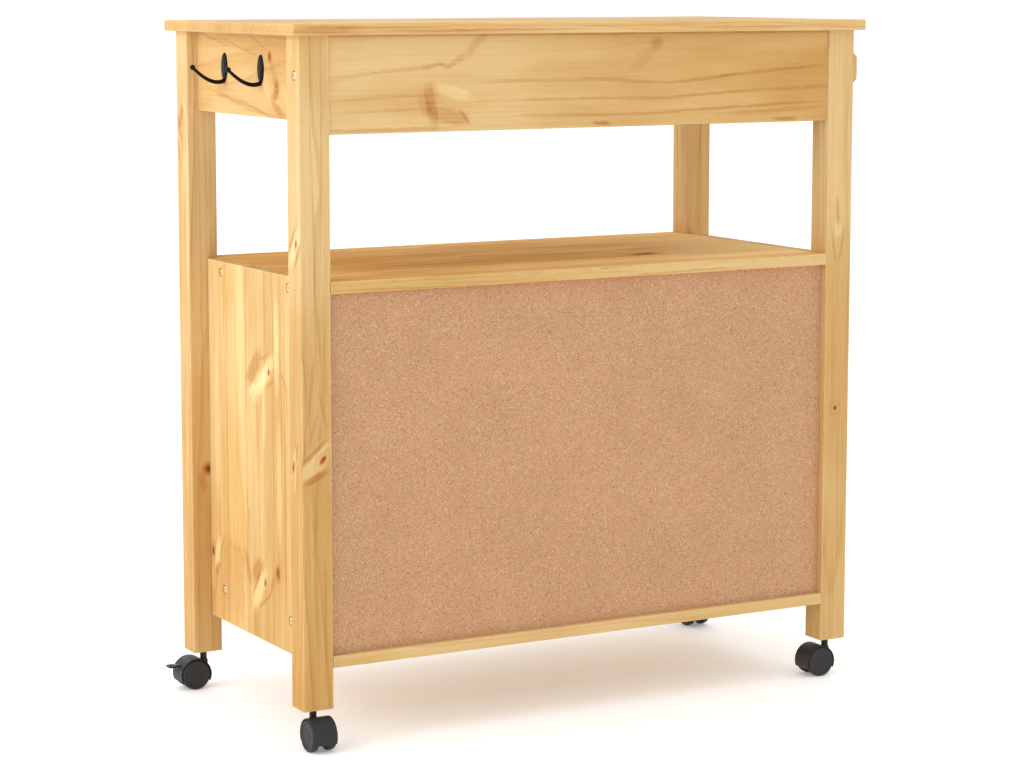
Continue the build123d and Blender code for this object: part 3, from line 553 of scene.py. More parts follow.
# Each board's axes, the pith's place behind its face, its rings and its own figure.
BOARDS = {
    "worktop": dict(
        axes="xz", stave=67, seed=2, tone=-0.3, warm=(0, 0.4), figure=0.45,
        knots=[(-210, 118, 9, 1.9, 0.3, 0.3), (90, -66, 8, 2, -0.3, 0.35)],
        marks=[(200, 40, 150, 4, 40, 2), (-120, -30, 170, 4, 36, -1), (60, 150, 160, 5, 36, 1)],
        side_marks=[
            (376, 0, 46, 7, 40), (300, 2, 110, 1.4, 50), (120, -2, 120, 1.6, 50),
            (-60, 2, 110, 1.4, 40), (-240, -1, 120, 1.6, 45), (230, -3, 70, 1.8, 45),
        ],
    ),
    "shelf": dict(
        # The high tone lightens the shelf's top as a painted pool of light, and side_tone takes it
        # back off the edges.
        axes="xz", stave=76, seed=5, tone=2.8, warm=(0, 0.75), streak=0.8, side_tone=-3.1, shine=0,
        knots=[(-154, 73, 9, 2.2, 0.3, 0.8)],
        marks=[
            # The wide pale mark at -330 is a painted pool of light on the top.
            (-200, 4, 60, 9, 50, 4), (-55, 19, 85, 8, 40, -3), (-330, 0, 130, 150, -40),
            (150, 60, 120, 5, 40, 2), (-40, 92, 150, 4, 40, -1), (210, 120, 90, 6, 35, 2),
            (60, -60, 130, 6, 35, 1),
        ],
        side_marks=[
            (250, 2, 90, 1.6, 50, 1), (60, -3, 120, 1.4, 45), (-140, 3, 90, 1.6, 40, -1),
            (-320, -1, 60, 2, 30, 1), (-40, 0, 700, 20, -30),
        ],
    ),
    "cabinet_floor": dict(axes="xz", stave=70, seed=9),
    "rear_apron": dict(
        axes="xy", pith=(150, -58), lean=(-0.035, 0.01), ring=22, seed=3, tone=-0.2,
        warm=(0.75, 0.1), figure=0.1, streak=0.22,
        marks=[
            (330, 11, 40, 2.6, 30, -5), (268, 17, 42, 3.4, 38, -3), (226, 21, 16, 3.4, 42, -12),
            (208, 21, 10, 3.2, 42, 14), (192, 27, 16, 5, 34, 148), (164, 48, 24, 7, 32, 133),
            (227, -27, 30, 9, 62, 80), (236, -26, 18, 10, 36, 66), (200, -42, 28, 11, 56, 10),
            (181, -42, 14, 2.6, 50, 56), (196, -12, 30, 9, -40, 16), (298, -17, 72, 2, 32, -2),
            (296, -33, 72, 2, 34, -1), (290, -56, 100, 3, 45), (60, 1, 100, 3, 42),
            (45, -23, 76, 2.2, 40), (40, -43, 78, 2.6, 38, 1), (-60, -2, 70, 2.6, 42, 4),
            (-170, -1, 64, 2.6, 50, -5), (-275, 8, 100, 2.6, 46, -4), (-60, -24, 80, 2.2, 50, 1),
            (-190, -20, 90, 2.2, 52, -3), (-315, -15, 70, 2.2, 52, -1), (-60, -44, 80, 2.2, 40),
            (-230, -38, 140, 2.2, 46, -2), (-284, -44, 96, 3, 42, -2), (-18, -55, 16, 3, 80, 3),
            (-299, -56, 20, 2.6, 70, 1), (-100, 47, 9, 9, 40), (-82, 30, 30, 10, 24, -44),
            # Painted shade: a dark line along the top, under the worktop's overhang, and one at the
            # end, where the apron meets the leg.
            (0, 59, 900, 2.4, 75), (-371, 0, 90, 2.2, 60, 90),
        ],
    ),
    "side_apron_right": dict(
        axes="yx", pith=(-30, -64), lean=(0.05, 0.03), ring=16, seed=6, warm=(0.3, 0.55),
        figure=0.35,
        knots=[(73, 24, 5.5, 0.8, 0, 0.9)],
        marks=[
            (-110, 44, 60, 2.6, 40, -9), (-20, 34, 70, 2, 40, -10), (40, 40, 34, 2.4, 34, -20),
            (84, 4, 26, 9, 40, -62), (92, -16, 15, 8, 50, 74), (88, -24, 16, 7, 40, 30),
            (98, -42, 26, 7, 55, -30), (-60, -30, 70, 2.2, 34, -9), (30, -42, 60, 2.4, 40, -11),
            (92, -12, 5, 3, 70, 20), (60, -10, 24, 9, -35, -60), (116, -20, 14, 7, -30, -60),
        ],
    ),
    "side_apron_left": dict(
        axes="yx", pith=(20, 60), lean=(-0.03, 0.03), ring=13, seed=11,
        knots=[(-60, 12, 9, 1.5, 0.3, 0.4)],
        marks=[(60, -20, 70, 2.4, 36, 5), (20, 34, 80, 2, 34, -3)],
    ),
    "side_panel_right": dict(
        axes="zx", stave=59, seed=4.35, ring=15, warm=(0.5, 0), figure=0.35, shine=0,
        knots=[
            (111, 37, 5, 1.7, 0.4, 0.5), (-163, 20, 5, 1.9, 0.4, 0.5), (-143, 59, 5.5, 1.4, 0, 0.9),
            (-151, -147, 6, 1.8, 0.2, 0.6),
        ],
        marks=[
            (102, 20, 48, 12, -70, 48), (112, -10, 34, 13, 70, 42), (97, 40, 13, 3.4, 50, 60),
            (104, 83, 18, 3, 42, 142), (76, 91, 22, 2.6, 36, -4), (28, 1, 64, 10, 24),
            (130, 24, 18, 3, 40, 66), (84, -16, 14, 6, -50, 50), (-174, 4, 40, 12, -65, 36),
            (-168, -7, 22, 3, 45, 36), (-166, 39, 18, 3.4, 50, 20), (-188, 17, 28, 3.2, 50, 57),
            (-150, -4, 22, 13, 65, 45), (-225, -9, 26, 13, 36, 4), (-156, 48, 20, 5, 30, 22),
            (-150, -132, 26, 8, -70, 18), (-172, -133, 12, 7, 65, 30), (-176, -80, 62, 42, 30),
            (-150, -34, 28, 7, 60, -18), (-140, -118, 20, 4, 36, 30), (150, -34, 190, 1.6, 50),
            (120, 74, 200, 1.4, 42), (20, 47, 120, 1.4, 36), (-20, -96, 170, 1.4, 32),
            (160, -104, 120, 1.6, 32), (-60, 84, 180, 1.6, 36), (60, -62, 60, 4, 30, 1),
            (150, 60, 70, 8, -45), (-30, 66, 90, 8, -40), (40, -130, 110, 8, -35),
            (0, 100, 150, 3, 24), (60, 20, 60, 6, -40, 2),
        ],
        arches=[(-124, -80, 1, 0.02, 16, 0.3)],
    ),
    "side_panel_left": dict(
        axes="zx", stave=62, seed=8.2, ring=14, warm=(0.5, 0.1),
        knots=[(90, -50, 10, 1.9, 0.6, 0.2), (-120, 66, 8, 1.8, -0.5, 0.3)],
        arches=[(-40, 22, 1, 0.07, 120, 0.34)],
    ),
    "leg_rear_right": dict(
        axes="zy", pith=(-24, -40), lean=(0.012, 0.006), ring=13, seed=1, tone=-0.5,
        warm=(0.95, -0.15), figure=0.4,
        side_knots=[(163, 5, 3, 2.2, 0.5, 0.7), (-112, -7, 3, 2.2, 0.4, 0.8)],
        knots=[(-101, -8, 7, 1, -0.8, 0.55)],
        marks=[
            (-104, 1, 34, 13, -60, -41), (-91, 3, 27, 3.2, 65, -49), (-123, 2, 22, 5, 80, -65),
            (-20, 8, 48, 2.4, 40, -6), (-40, -8, 28, 2.2, 40, 12), (-60, 4, 26, 2, 36, -16),
            (130, 2, 150, 1.6, 30, 1), (240, -8, 120, 1.4, 30, -1), (320, 6, 90, 1.6, 26),
            (-240, 3, 120, 3, 40, 1), (-300, -10, 90, 2.4, 36), (-200, 12, 60, 2, 30, 1),
        ],
        side_marks=[
            (158, 1, 31, 8, -60, 31), (167, -7, 24, 3.2, 65, 32), (149, 9, 24, 3.2, 65, 32),
            (-114, -5, 28, 7, -60, 7), (-130, -8, 10, 3, 75, 10), (-95, 2, 20, 2.6, 60, 16),
            (-120, 4, 20, 2, 40, -6), (60, 4, 90, 1.6, 30), (300, -4, 120, 1.6, 28, 1),
            (-280, 2, 120, 2, 32),
        ],
    ),
    "leg_rear_left": dict(
        axes="zy", pith=(6, -46), lean=(0.01, 0.012), ring=14, seed=7, tone=-0.5, warm=(0.55, 0),
        figure=0.4,
        knots=[(-94, 2, 5, 1.3, 0, 0.55)],
        marks=[
            (168, 2, 30, 3, 50, 4), (126, 8, 30, 2.4, 50, 10), (126, -5, 26, 2, 45, -12),
            (150, 1, 12, 5, -50), (-10, 6, 130, 1.2, 28, 1), (-220, -4, 110, 1.4, 28),
            (300, -6, 110, 1.2, 26, 1),
        ],
    ),
    "leg_front_right": dict(
        axes="zy", pith=(-18, 52), lean=(0, 0.02), ring=14, seed=12, tone=-0.2, warm=(0.5, 0),
        figure=0.4,
        knots=[(-165, -3, 6, 1.1, 0, 0.9)],
        marks=[
            (60, 4, 160, 1.6, 34), (-280, -6, 90, 2, 34, 1), (260, -4, 110, 1.8, 30, 1),
            (-182, 5, 16, 6, 50, 15),
        ],
        side_marks=[
            (100, 4, 120, 1.6, 34), (-140, -6, 100, 2, 34, 1), (300, 2, 70, 3, 30, 3),
            (302, -4, 18, 7, 60, 20), (286, -8, 22, 5, 50, -20), (254, -11, 24, 3.4, 55, -14),
            (318, 6, 16, 4, -40, -12),
        ],
    ),
    "leg_front_left": dict(
        axes="zy", pith=(22, 44), lean=(0.01, -0.01), ring=14, seed=14, warm=(0.6, 0.1),
        knots=[(60, -6, 7, 1.8, 0.6, 0.3)],
        marks=[(-120, 4, 120, 1.6, 30), (240, -4, 110, 1.4, 28, 1)],
    ),
    "bottom_rails": dict(axes="xz", stave=127, seed=15, ring=11, figure=0.4),
    "drawer_rail": dict(axes="xz", pith=(30, 40), ring=11, seed=16),
    "drawer_post": dict(axes="zy", pith=(10, 44), ring=10, seed=17),
    "drawer_divider": dict(axes="yx", pith=(30, 44), ring=10, seed=18),
    "drawer_runners": dict(axes="yz", stave=44, seed=19),
    "towel_brackets": dict(axes="xy", pith=(14, 300), ring=10, seed=20),
    "towel_bar": dict(axes="yx", pith=(12, 22), ring=7, seed=21, tone=0.3),
    "drawer_right_front": dict(
        axes="xy", pith=(-20, 62), lean=(0.03, 0.02), ring=14, seed=22, warm=(0.5, 0.1),
        knots=[(90, 14, 8, 1.8, 0.6, 0.25)],
        marks=[(-60, -22, 80, 2, 40, 3), (-40, 20, 90, 2.4, 36, -4), (110, -26, 50, 2, 40, 6)],
    ),
    "drawer_left_front": dict(
        axes="xy", pith=(26, 58), lean=(-0.03, 0.02), ring=14, seed=23, warm=(0.1, 0.5),
        knots=[(-70, -16, 7, 1.9, -0.5, 0.3)],
        marks=[(40, 18, 90, 2.2, 40, 3), (80, -14, 70, 2, 36, -3), (-90, 26, 50, 2, 36, 4)],
    ),
    "door_right_panel": dict(
        axes="zy", stave=69, seed=24.6, ring=14, warm=(0.5, 0.1),
        knots=[(60, 40, 10, 1.9, 0.7, 0.22), (-110, -70, 8, 1.8, -0.5, 0.3)],
        arches=[(-50, -36, 1, 0.09, 120, 0.34)],
    ),
    "door_left_panel": dict(
        axes="zy", stave=69, seed=27.3, ring=14, warm=(0.5, 0.1),
        knots=[(-60, -34, 10, 1.9, -0.7, 0.22), (120, 80, 7, 1.8, 0.5, 0.3)],
        arches=[(64, 33, -1, 0.08, 110, 0.34), (-120, -36, 1, 0.1, 60, 0.3)],
    ),
    "dowels": dict(axes="yz", stave=40, seed=30, ring=3),
}
NODE_FINISHES = {
    "back_panel": PARTICLE,
    "drawer_right_bottom": HARDBOARDS["right"],
    "drawer_left_bottom": HARDBOARDS["left"],
    "door_catches": CATCH,
}
for node in ("frame_bolts", "barrel_nuts", "screws", "worktop_brackets", "caster_sockets"):
    NODE_FINISHES[node] = ZINC
for node in ("hinge_leaves", "door_right_hardware", "door_left_hardware"):
    NODE_FINISHES[node] = BLACK_STEEL


def paint(piece, *materials):
    """Gives a piece its materials and nothing else."""
    piece.data.materials.clear()
    for material in materials:
        piece.data.materials.append(material)


def in_scene(name, data):
    """A new object in the scene."""
    made = bpy.data.objects.new(name, data)
    bpy.context.scene.collection.objects.link(made)
    return made


for node, board in BOARDS.items():
    paint(frame["nodes"][node], pine("pine_" + node, *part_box(node), **board))
for node, finish in NODE_FINISHES.items():
    paint(frame["nodes"][node], finish)


# ---- mesh helpers

SMOOTH_ANGLE = radians(38)
ARRIS = 1.0 * MM
MERGE_DISTANCE = 1e-6
CORNER_SHARE = 0.45  # the most of an edge that one rounded corner takes


def object_from(mesh, name):
    """A scene object made from a finished mesh."""
    data = bpy.data.meshes.new(name)
    mesh.to_mesh(data)
    mesh.free()
    return in_scene(name, data)


def new_piece(name, mesh, materials, slot, body, *nodes):
    """Makes a mesh one named piece with its finish, its body and the CAD nodes it stands for."""
    bmesh.ops.remove_doubles(mesh, verts=mesh.verts[:], dist=MERGE_DISTANCE)
    bmesh.ops.recalc_face_normals(mesh, faces=mesh.faces[:])
    mesh.normal_update()
    piece = object_from(mesh, name)
    piece.data.shade_smooth()
    piece.data.set_sharp_from_angle(angle=SMOOTH_ANGLE)
    paint(piece, *materials)
    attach(piece, body)
    if nodes:
        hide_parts(*nodes)
    return piece


def rounded(outline, radius, steps=4, closed=True):
    """The outline with its corners rounded."""
    points = [Vector(p) for p in outline]
    made = []
    for i, corner in enumerate(points):
        if not closed and i in (0, len(points) - 1):
            made.append(corner)
            continue
        before = points[i - 1] - corner
        after = points[(i + 1) % len(points)] - corner
        reach = min(radius, before.length * CORNER_SHARE, after.length * CORNER_SHARE)
        a, b = corner + before.normalized() * reach, corner + after.normalized() * reach
        for k in range(steps + 1):
            t = k / steps
            made.append(a * (1 - t) ** 2 + corner * (2 * t * (1 - t)) + b * t**2)
    return made


def bridge(mesh, rings, closed_ring=True, closed_loop=False):
    """Faces between consecutive rings of vertices."""
    count = len(rings[0])
    last = count if closed_ring else count - 1
    pairs = list(zip(rings, rings[1:]))
    if closed_loop:
        pairs.append((rings[-1], rings[0]))
    for one, two in pairs:
        for i in range(last):
            j = (i + 1) % count
            mesh.faces.new((one[i], one[j], two[j], two[i]))


def cap(mesh, rings):
    """Faces over the first ring and the last."""
    mesh.faces.new(rings[0])
    mesh.faces.new(reversed(rings[-1]))


def lathe(mesh, profile, place, segments=72, start=0.0, sweep=tau, ring=False):
    """Turns a profile of (radius, height) about a place's z axis.

    A ring's profile is closed, and a part turn gets flat ends.
    """
    whole = sweep == tau
    steps = segments if whole else segments + 1
    rings = []
    for i in range(steps):
        angle = start + sweep * i / segments
        spot = [Vector((r * cos(angle), r * sin(angle), h)) for r, h in profile]
        rings.append([mesh.verts.new(place @ p) for p in spot])
    bridge(mesh, rings, closed_ring=ring, closed_loop=whole)
    if not whole:
        cap(mesh, rings)


def tube(mesh, path, radii, sides=20):
    """A round tube with flat ends, along a path that lies in an xz plane."""
    rings = []
    for i, (point, radius) in enumerate(zip(path, radii)):
        ahead = path[min(i + 1, len(path) - 1)] - path[max(i - 1, 0)]
        ahead.normalize()
        side = Vector((0, 1, 0))
        up = ahead.cross(side)
        ring = []
        for k in range(sides):
            angle = tau * k / sides
            spoke = side * cos(angle) + up * sin(angle)
            ring.append(mesh.verts.new(point + spoke * radius))
        rings.append(ring)
    bridge(mesh, rings)
    cap(mesh, rings)


def prism(mesh, outline, thickness, place, bevel):
    """A plate of an outline in the xy plane of a place, with both rims bevelled."""
    middle = sum(outline, Vector((0, 0))) / len(outline)
    half, step = thickness / 2, bevel * 0.3
    levels = [(-half, bevel), (-half + step, step), (-half + bevel, 0)]
    levels += [(-z, inset) for z, inset in reversed(levels)]
    rings = []
    for height, inset in levels:
        ring = []
        for p in outline:
            inward = (middle - p).normalized() * inset
            ring.append(mesh.verts.new(place @ Vector((*(p + inward), height))))
        rings.append(ring)
    bridge(mesh, rings)
    cap(mesh, rings)


def board_block(low, high):
    """A board's box with eased edges."""
    mesh = bmesh.new()
    bmesh.ops.create_cube(mesh, size=1.0)
    size, centre = high - low, (low + high) / 2
    for vertex in mesh.verts:
        vertex.co = Vector([vertex.co[i] * size[i] + centre[i] for i in range(3)])
    easing = {"offset": ARRIS, "segments": 2, "profile": 0.5, "affect": "EDGES"}
    bmesh.ops.bevel(mesh, geom=mesh.edges[:], **easing)
    return mesh


# ---- doors and drawers

BOX_THICK = 12 * MM
STILE_WIDTH = 52 * MM
TRAY_RAISE = 9 * MM


def wooden(name, low, high, body, axes, seed, **more):
    """A separate pine board with its own material."""
    finish = pine("pine_" + name, low, high, axes, seed=seed, **more)
    return new_piece(name, board_block(low, high), [finish], "pine", body)


def drawer_box(side, seed):
    """Two sides and a back in place of the CAD node that holds all three."""
    low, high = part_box(f"drawer_{side}_box")
    body = f"drawer_{side}"
    ends = {"inner": (low.x, low.x + BOX_THICK), "outer": (high.x - BOX_THICK, high.x)}
    for i, (name, (x0, x1)) in enumerate(ends.items()):
        a, b = Vector((x0, low.y, low.z)), Vector((x1, high.y, high.z))
        wooden(f"drawer_{side}_side_{name}", a, b, body, "yx", seed + i, pith=(20, 44), ring=7)
    a = Vector((low.x + BOX_THICK, high.y - BOX_THICK, low.z + TRAY_RAISE))
    b = Vector((high.x - BOX_THICK, high.y, high.z))
    back = wooden(f"drawer_{side}_back", a, b, body, "xy", seed + 2, pith=(10, 50), ring=8)
    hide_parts(f"drawer_{side}_box")


def door_frame(side, seed):
    """Two stiles and two rails in place of the CAD node that holds all four."""
    low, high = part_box(f"door_{side}_frame")
    body = f"door_{side}"
    for i, (x0, x1) in enumerate(((low.x, low.x + STILE_WIDTH), (high.x - STILE_WIDTH, high.x))):
        a, b = Vector((x0, low.y, low.z)), Vector((x1, high.y, high.z))
        look = {"pith": (24, 46), "ring": 8, "knots": [((-1) ** i * 90, 6, 8, 1.8, 0.3, 0.35)]}
        wooden(f"door_{side}_stile_{'ab'[i]}", a, b, body, "zy", seed + i, **look)
    for i, (z0, z1) in enumerate(((low.z, low.z + STILE_WIDTH), (high.z - STILE_WIDTH, high.z))):
        a, b = Vector((low.x + STILE_WIDTH, low.y, z0)), Vector((high.x - STILE_WIDTH, high.y, z1))
        look = {"pith": (-20, 52), "ring": 8}
        rail = wooden(f"door_{side}_rail_{'ab'[i]}", a, b, body, "xy", seed + 3 + i, **look)
    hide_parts(f"door_{side}_frame")


# The knob's profile, as shares of the head's radius and of the length.
KNOB_PROFILE = (
    (0, 0), (0.6, 0), (0.6, 0.09), (0.42, 0.17), (0.34, 0.34), (0.42, 0.47), (0.86, 0.57),
    (1, 0.68), (1, 0.78), (0.8, 0.92), (0.4, 0.985), (0, 1),
)
KNOB_ROUNDING = 1.6 * MM


def knob(name, body):
    """A turned knob: a foot, a waist and a rounded head."""
    low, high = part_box(name)
    head = (high.x - low.x) / 2
    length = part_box(name.replace("knob", "front" if "drawer" in name else "frame"))[0].y - low.y
    base = Vector(((low.x + high.x) / 2, low.y + length, (low.z + high.z) / 2))
    outline = [(across * head, along * length) for across, along in KNOB_PROFILE]
    profile = rounded(outline, KNOB_ROUNDING, steps=5, closed=False)
    place = Matrix.Translation(base) @ Matrix.Rotation(radians(90), 4, "X")
    mesh = bmesh.new()
    lathe(mesh, profile, place)
    new_piece(name + "_turned", mesh, [ENAMEL], "black_enamel", body, name)


for side, seed in (("right", 40.0), ("left", 50.0)):
    drawer_box(side, seed)
    door_frame(side, seed + 20)
    knob(f"drawer_{side}_knob", f"drawer_{side}")
    knob(f"door_{side}_knob", f"door_{side}")


# ---- hooks

PLATE_THICK = 3.2 * MM
PLATE_FOOT = 4.2 * MM  # the plate's lowest point above the arm's
PLATE_SIDES = 48
# The plate's dome: each ring's share of the outline, and its share of the thickness.
PLATE_RINGS = ((1, 0), (1, 0.3), (0.95, 0.55), (0.84, 0.78), (0.66, 0.93), (0.4, 1), (0.12, 1))
PLATE_POINT = 1.25  # the lens's pointedness
PLATE_RIDGE = 0.25  # the share of the plate's height that every ring keeps
# Where the arm starts and where it sags to, out from the apron and up from the hook's lowest point.
ARM_ROOT = (2.0 * MM, 4.6 * MM)
ARM_SAG = (20 * MM, -2.2 * MM)
ARM_RADIUS = 2.9 * MM
ARM_TAPER = 0.32
ARM_STEPS = 48
BALL_RADIUS = 3.5 * MM
BALL_RINGS = 20
BALL_DROP = 18 * MM  # the ball's centre below the plate's top


def hook(name):
    """A domed lens-shaped plate whose foot runs out into a tapered arm with a ball at its tip."""
    low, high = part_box(name)
    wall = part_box("side_apron_right")[1].x
    y = (low.y + high.y) / 2
    half_width = (high.y - low.y) / 2
    foot = low.z + PLATE_FOOT
    middle = Vector((wall, y, (foot + high.z) / 2))
    half_height = (high.z - foot) / 2
    mesh = bmesh.new()
    rings = []
    for scale, rise in PLATE_RINGS:
        ring = []
        for k in range(PLATE_SIDES):
            angle = tau * k / PLATE_SIDES
            lens = abs(sin(angle)) ** PLATE_POINT * copysign(1, sin(angle))
            z = lens * half_height * (PLATE_RIDGE + (1 - PLATE_RIDGE) * scale)
            across = cos(angle) * half_width * scale
            ring.append(mesh.verts.new(middle + Vector((rise * PLATE_THICK, across, z))))
        rings.append(ring)
    bridge(mesh, rings)
    cap(mesh, rings)

    # The arm sags from the plate's foot to its lowest point and rises to the ball.
    root, sag = (Vector((wall + out, y, low.z + up)) for out, up in (ARM_ROOT, ARM_SAG))
    ball = Vector((high.x - BALL_RADIUS, y, high.z - BALL_DROP))
    steps = [k / ARM_STEPS for k in range(ARM_STEPS + 1)]
    path = [root.lerp(sag, t).lerp(sag.lerp(ball, t), t) for t in steps]
    radii = [ARM_RADIUS * (1.0 - ARM_TAPER * t) for t in steps]
    tube(mesh, path, radii)
    turns = [pi * k / BALL_RINGS for k in range(BALL_RINGS + 1)]
    arc = [(BALL_RADIUS * sin(turn), BALL_RADIUS * cos(turn)) for turn in turns]
    lathe(mesh, arc, Matrix.Translation(ball), segments=32)
    new_piece(name + "_forged", mesh, [ENAMEL], "black_enamel", "frame", name)


hook("hook_front")
hook("hook_rear")


# ---- casters

WHEEL_RADIUS = 20 * MM
HOOD_RADIUS = 21.99 * MM
HOOD_THICK = 1.3 * MM
HOOD_HALF = 15.7 * MM
HOOD_END = radians(25)
WEB_HALF = 5.6 * MM
BOSS_RADIUS = 5.9 * MM
BOSS_FOOT = 17 * MM
BOSS_TOP = 38 * MM
STEM_RADIUS = 4.5 * MM
STEM_FOOT = 36 * MM
WHEEL_INNER = 6.7 * MM
WHEEL_OUTER = 16.7 * MM
TREAD_FROM = 18.6 * MM  # faces further than this from the axle are tread
AXLE_HALF = 15 * MM
AXLE_RADIUS = 2.5 * MM
# The pedal in millimetres from the stem: its arm's end and half width, its pad and its three ribs.
PEDAL_ARM = (41, 4)
PEDAL_PAD = ((40.5, -5.5), (44, -7.5), (52, -7), (52, 7), (44, 7.5), (40.5, 5.5))
RIB_PLACES = (43.4, 46.0, 48.6)
RIB_HALF = 4.8


def caster_frame(name):
    """A caster's own frame, with its stem up z and its wheels towards x, and its trail."""
    stem = Vector(JOINTS[f"caster_{name}_swivel"]["pos_m"])
    hub = Vector(JOINTS[f"caster_{name}_wheel_a_spin"]["pos_m"])
    trail = hub - stem
    trail.z = 0
    ahead = trail.normalized()
    side = Vector((0, 0, 1)).cross(ahead)
    turn = Matrix((ahead, side, (0, 0, 1))).transposed().to_4x4()
    return Matrix.Translation((stem.x, stem.y, 0)) @ turn, trail.length


def wheel_axis(place, trail, side=1):
    """The wheel's own frame: z along the axle, outwards on one side, x ahead."""
    hub = place @ Matrix.Translation((trail, 0, WHEEL_RADIUS))
    return hub @ Matrix.Rotation(radians(-90 * side), 4, "X")


def caster_wheel(name, letter, side):
    """A wheel with a crowned tread, a rim ring and a shallow dished face with a hub cap."""
    node = f"caster_{name}_wheel_{letter}"
    place, trail = caster_frame(name)
    r, inner, outer = WHEEL_RADIUS, WHEEL_INNER, WHEEL_OUTER
    outline = [
        (0, outer - 1.1 * MM), (5.0 * MM, outer - 1.1 * MM), (5.6 * MM, outer - 1.6 * MM),
        (15.2 * MM, outer - 1.3 * MM), (15.9 * MM, outer - 0.4 * MM), (17.0 * MM, outer),
        (18.4 * MM, outer), (r - 0.4 * MM, outer - 1.2 * MM), (r, outer - 3.2 * MM),
        (r, inner + 2.6 * MM), (r - 0.5 * MM, inner + 0.8 * MM), (18.0 * MM, inner),
        (12.0 * MM, inner), (11.0 * MM, inner + 2 * MM), (5.5 * MM, inner + 2 * MM),
        (4.8 * MM, inner), (0, inner),
    ]
    profile = rounded(outline, 0.7 * MM, steps=3, closed=False)
    mesh = bmesh.new()
    lathe(mesh, profile, wheel_axis(place, trail, side), segments=96)
    hub = place @ Vector((trail, 0, WHEEL_RADIUS))
    axis = (place.to_3x3() @ Vector((0, 1, 0))).normalized()
    for face in mesh.faces:
        offset = face.calc_center_median() - hub
        if (offset - axis * offset.dot(axis)).length > TREAD_FROM:
            face.material_index = 1
    new_piece(node + "_turned", mesh, [WHEEL, TREAD], "wheel_plastic", node, node)


def caster_housing(name):
    """The hood over both wheels, the web between them, the stem's boss and the stem itself."""
    node = f"caster_{name}_swivel"
    place, trail = caster_frame(name)
    axle = wheel_axis(place, trail)
    mesh = bmesh.new()
    inside = HOOD_RADIUS - HOOD_THICK
    lip = HOOD_RADIUS - 2.0 * MM
    shell = [
        (HOOD_RADIUS - 0.1 * MM, -HOOD_HALF), (HOOD_RADIUS, -HOOD_HALF + 1.2 * MM),
        (HOOD_RADIUS, HOOD_HALF - 1.2 * MM), (HOOD_RADIUS - 0.1 * MM, HOOD_HALF),
        (inside, HOOD_HALF), (inside, -HOOD_HALF),
    ]
    # In the axle's frame z is the axle and -y is up, so the hood's arc runs over the top.
    start = -pi - HOOD_END
    sweep = pi + 2 * HOOD_END
    lathe(mesh, rounded(shell, 0.45 * MM), axle, segments=84, start=start, sweep=sweep, ring=True)
    web = [(0, -WEB_HALF), (lip, -WEB_HALF), (inside + 0.3 * MM, -WEB_HALF - 0.6 * MM)]
    web += [(r, -h) for r, h in reversed(web)]
    lathe(mesh, web, axle, segments=84, start=start, sweep=sweep, ring=True)
    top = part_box(node)[1].z
    boss = [
        (0, BOSS_FOOT), (BOSS_RADIUS, BOSS_FOOT), (BOSS_RADIUS, BOSS_TOP - 3 * MM),
        (BOSS_RADIUS - 0.5 * MM, BOSS_TOP), (0, BOSS_TOP),
    ]
    lathe(mesh, rounded(boss, 0.8 * MM, closed=False), place, segments=40)
    r, neck, tip = STEM_RADIUS, STEM_RADIUS - 0.6 * MM, STEM_RADIUS - 0.8 * MM
    stem = [
        (0, STEM_FOOT), (r, STEM_FOOT), (r, top - 6 * MM), (neck, top - 5 * MM),
        (neck, top - 2.5 * MM), (r, top - 1.5 * MM), (tip, top), (0, top),
    ]
    lathe(mesh, stem, place, segments=32)
    bar = [(0, -AXLE_HALF), (AXLE_RADIUS, -AXLE_HALF), (AXLE_RADIUS, AXLE_HALF), (0, AXLE_HALF)]
    lathe(mesh, bar, axle, segments=24)
    new_piece(node + "_moulded", mesh, [HOOD], "hood_plastic", f"caster_{name}", node)


def strip(x0, x1, half):
    """A strip's outline, given in millimetres: from x0 to x1, and half its width."""
    corners = ((x0, -half), (x1, -half), (x1, half), (x0, half))
    return [Vector(corner) * MM for corner in corners]


def brake_pedal(name):
    """A rounded pedal with grip ribs on a short arm."""
    node = f"caster_{name}_lever"
    place, _ = caster_frame(name)
    pivot = Vector(JOINTS[f"caster_{name}_brake"]["pos_m"])
    reach = (place.inverted() @ pivot).x
    z = pivot.z
    mesh = bmesh.new()
    level = place @ Matrix.Translation((0, 0, z))
    prism(mesh, rounded(strip(reach / MM, *PEDAL_ARM), 0.5 * MM), 2.4 * MM, level, 0.5 * MM)
    pad = [Vector(corner) * MM for corner in PEDAL_PAD]
    prism(mesh, rounded(pad, 2.6 * MM, steps=6), 2.6 * MM, level, 0.7 * MM)
    raised = level @ Matrix.Translation((0, 0, 1.4 * MM))
    for x in RIB_PLACES:
        prism(mesh, rounded(strip(x, x + 1, RIB_HALF), 0.4 * MM), 0.8 * MM, raised, 0.25 * MM)
    barrel = [(0, -4 * MM), (2.4 * MM, -4 * MM), (2.4 * MM, 4 * MM), (0, 4 * MM)]
    across = place @ Matrix.Translation((reach, 0, z)) @ Matrix.Rotation(radians(-90), 4, "X")
    lathe(mesh, rounded(barrel, 0.4 * MM, closed=False), across, segments=32)
    new_piece(node + "_moulded", mesh, [HOOD], "hood_plastic", node, node)


for name in ("front_right", "rear_right", "rear_left", "front_left"):
    caster_housing(name)
    caster_wheel(name, "a", -1)
    caster_wheel(name, "b", 1)
    if f"caster_{name}_brake" in JOINTS:
        brake_pedal(name)


# ---- studio and camera

FLOOR_HALF = 20.0
FLOOR_SHADES = ((0.95, 0.95, 0.95, 1.0), (0.97, 0.97, 0.97, 1.0))
FLOOR_GLOW = 0.18
WHITE = (1.0, 1.0, 1.0, 1.0)
SKY = 1.04
CART_MIDDLE = (0, 0, 0.5)
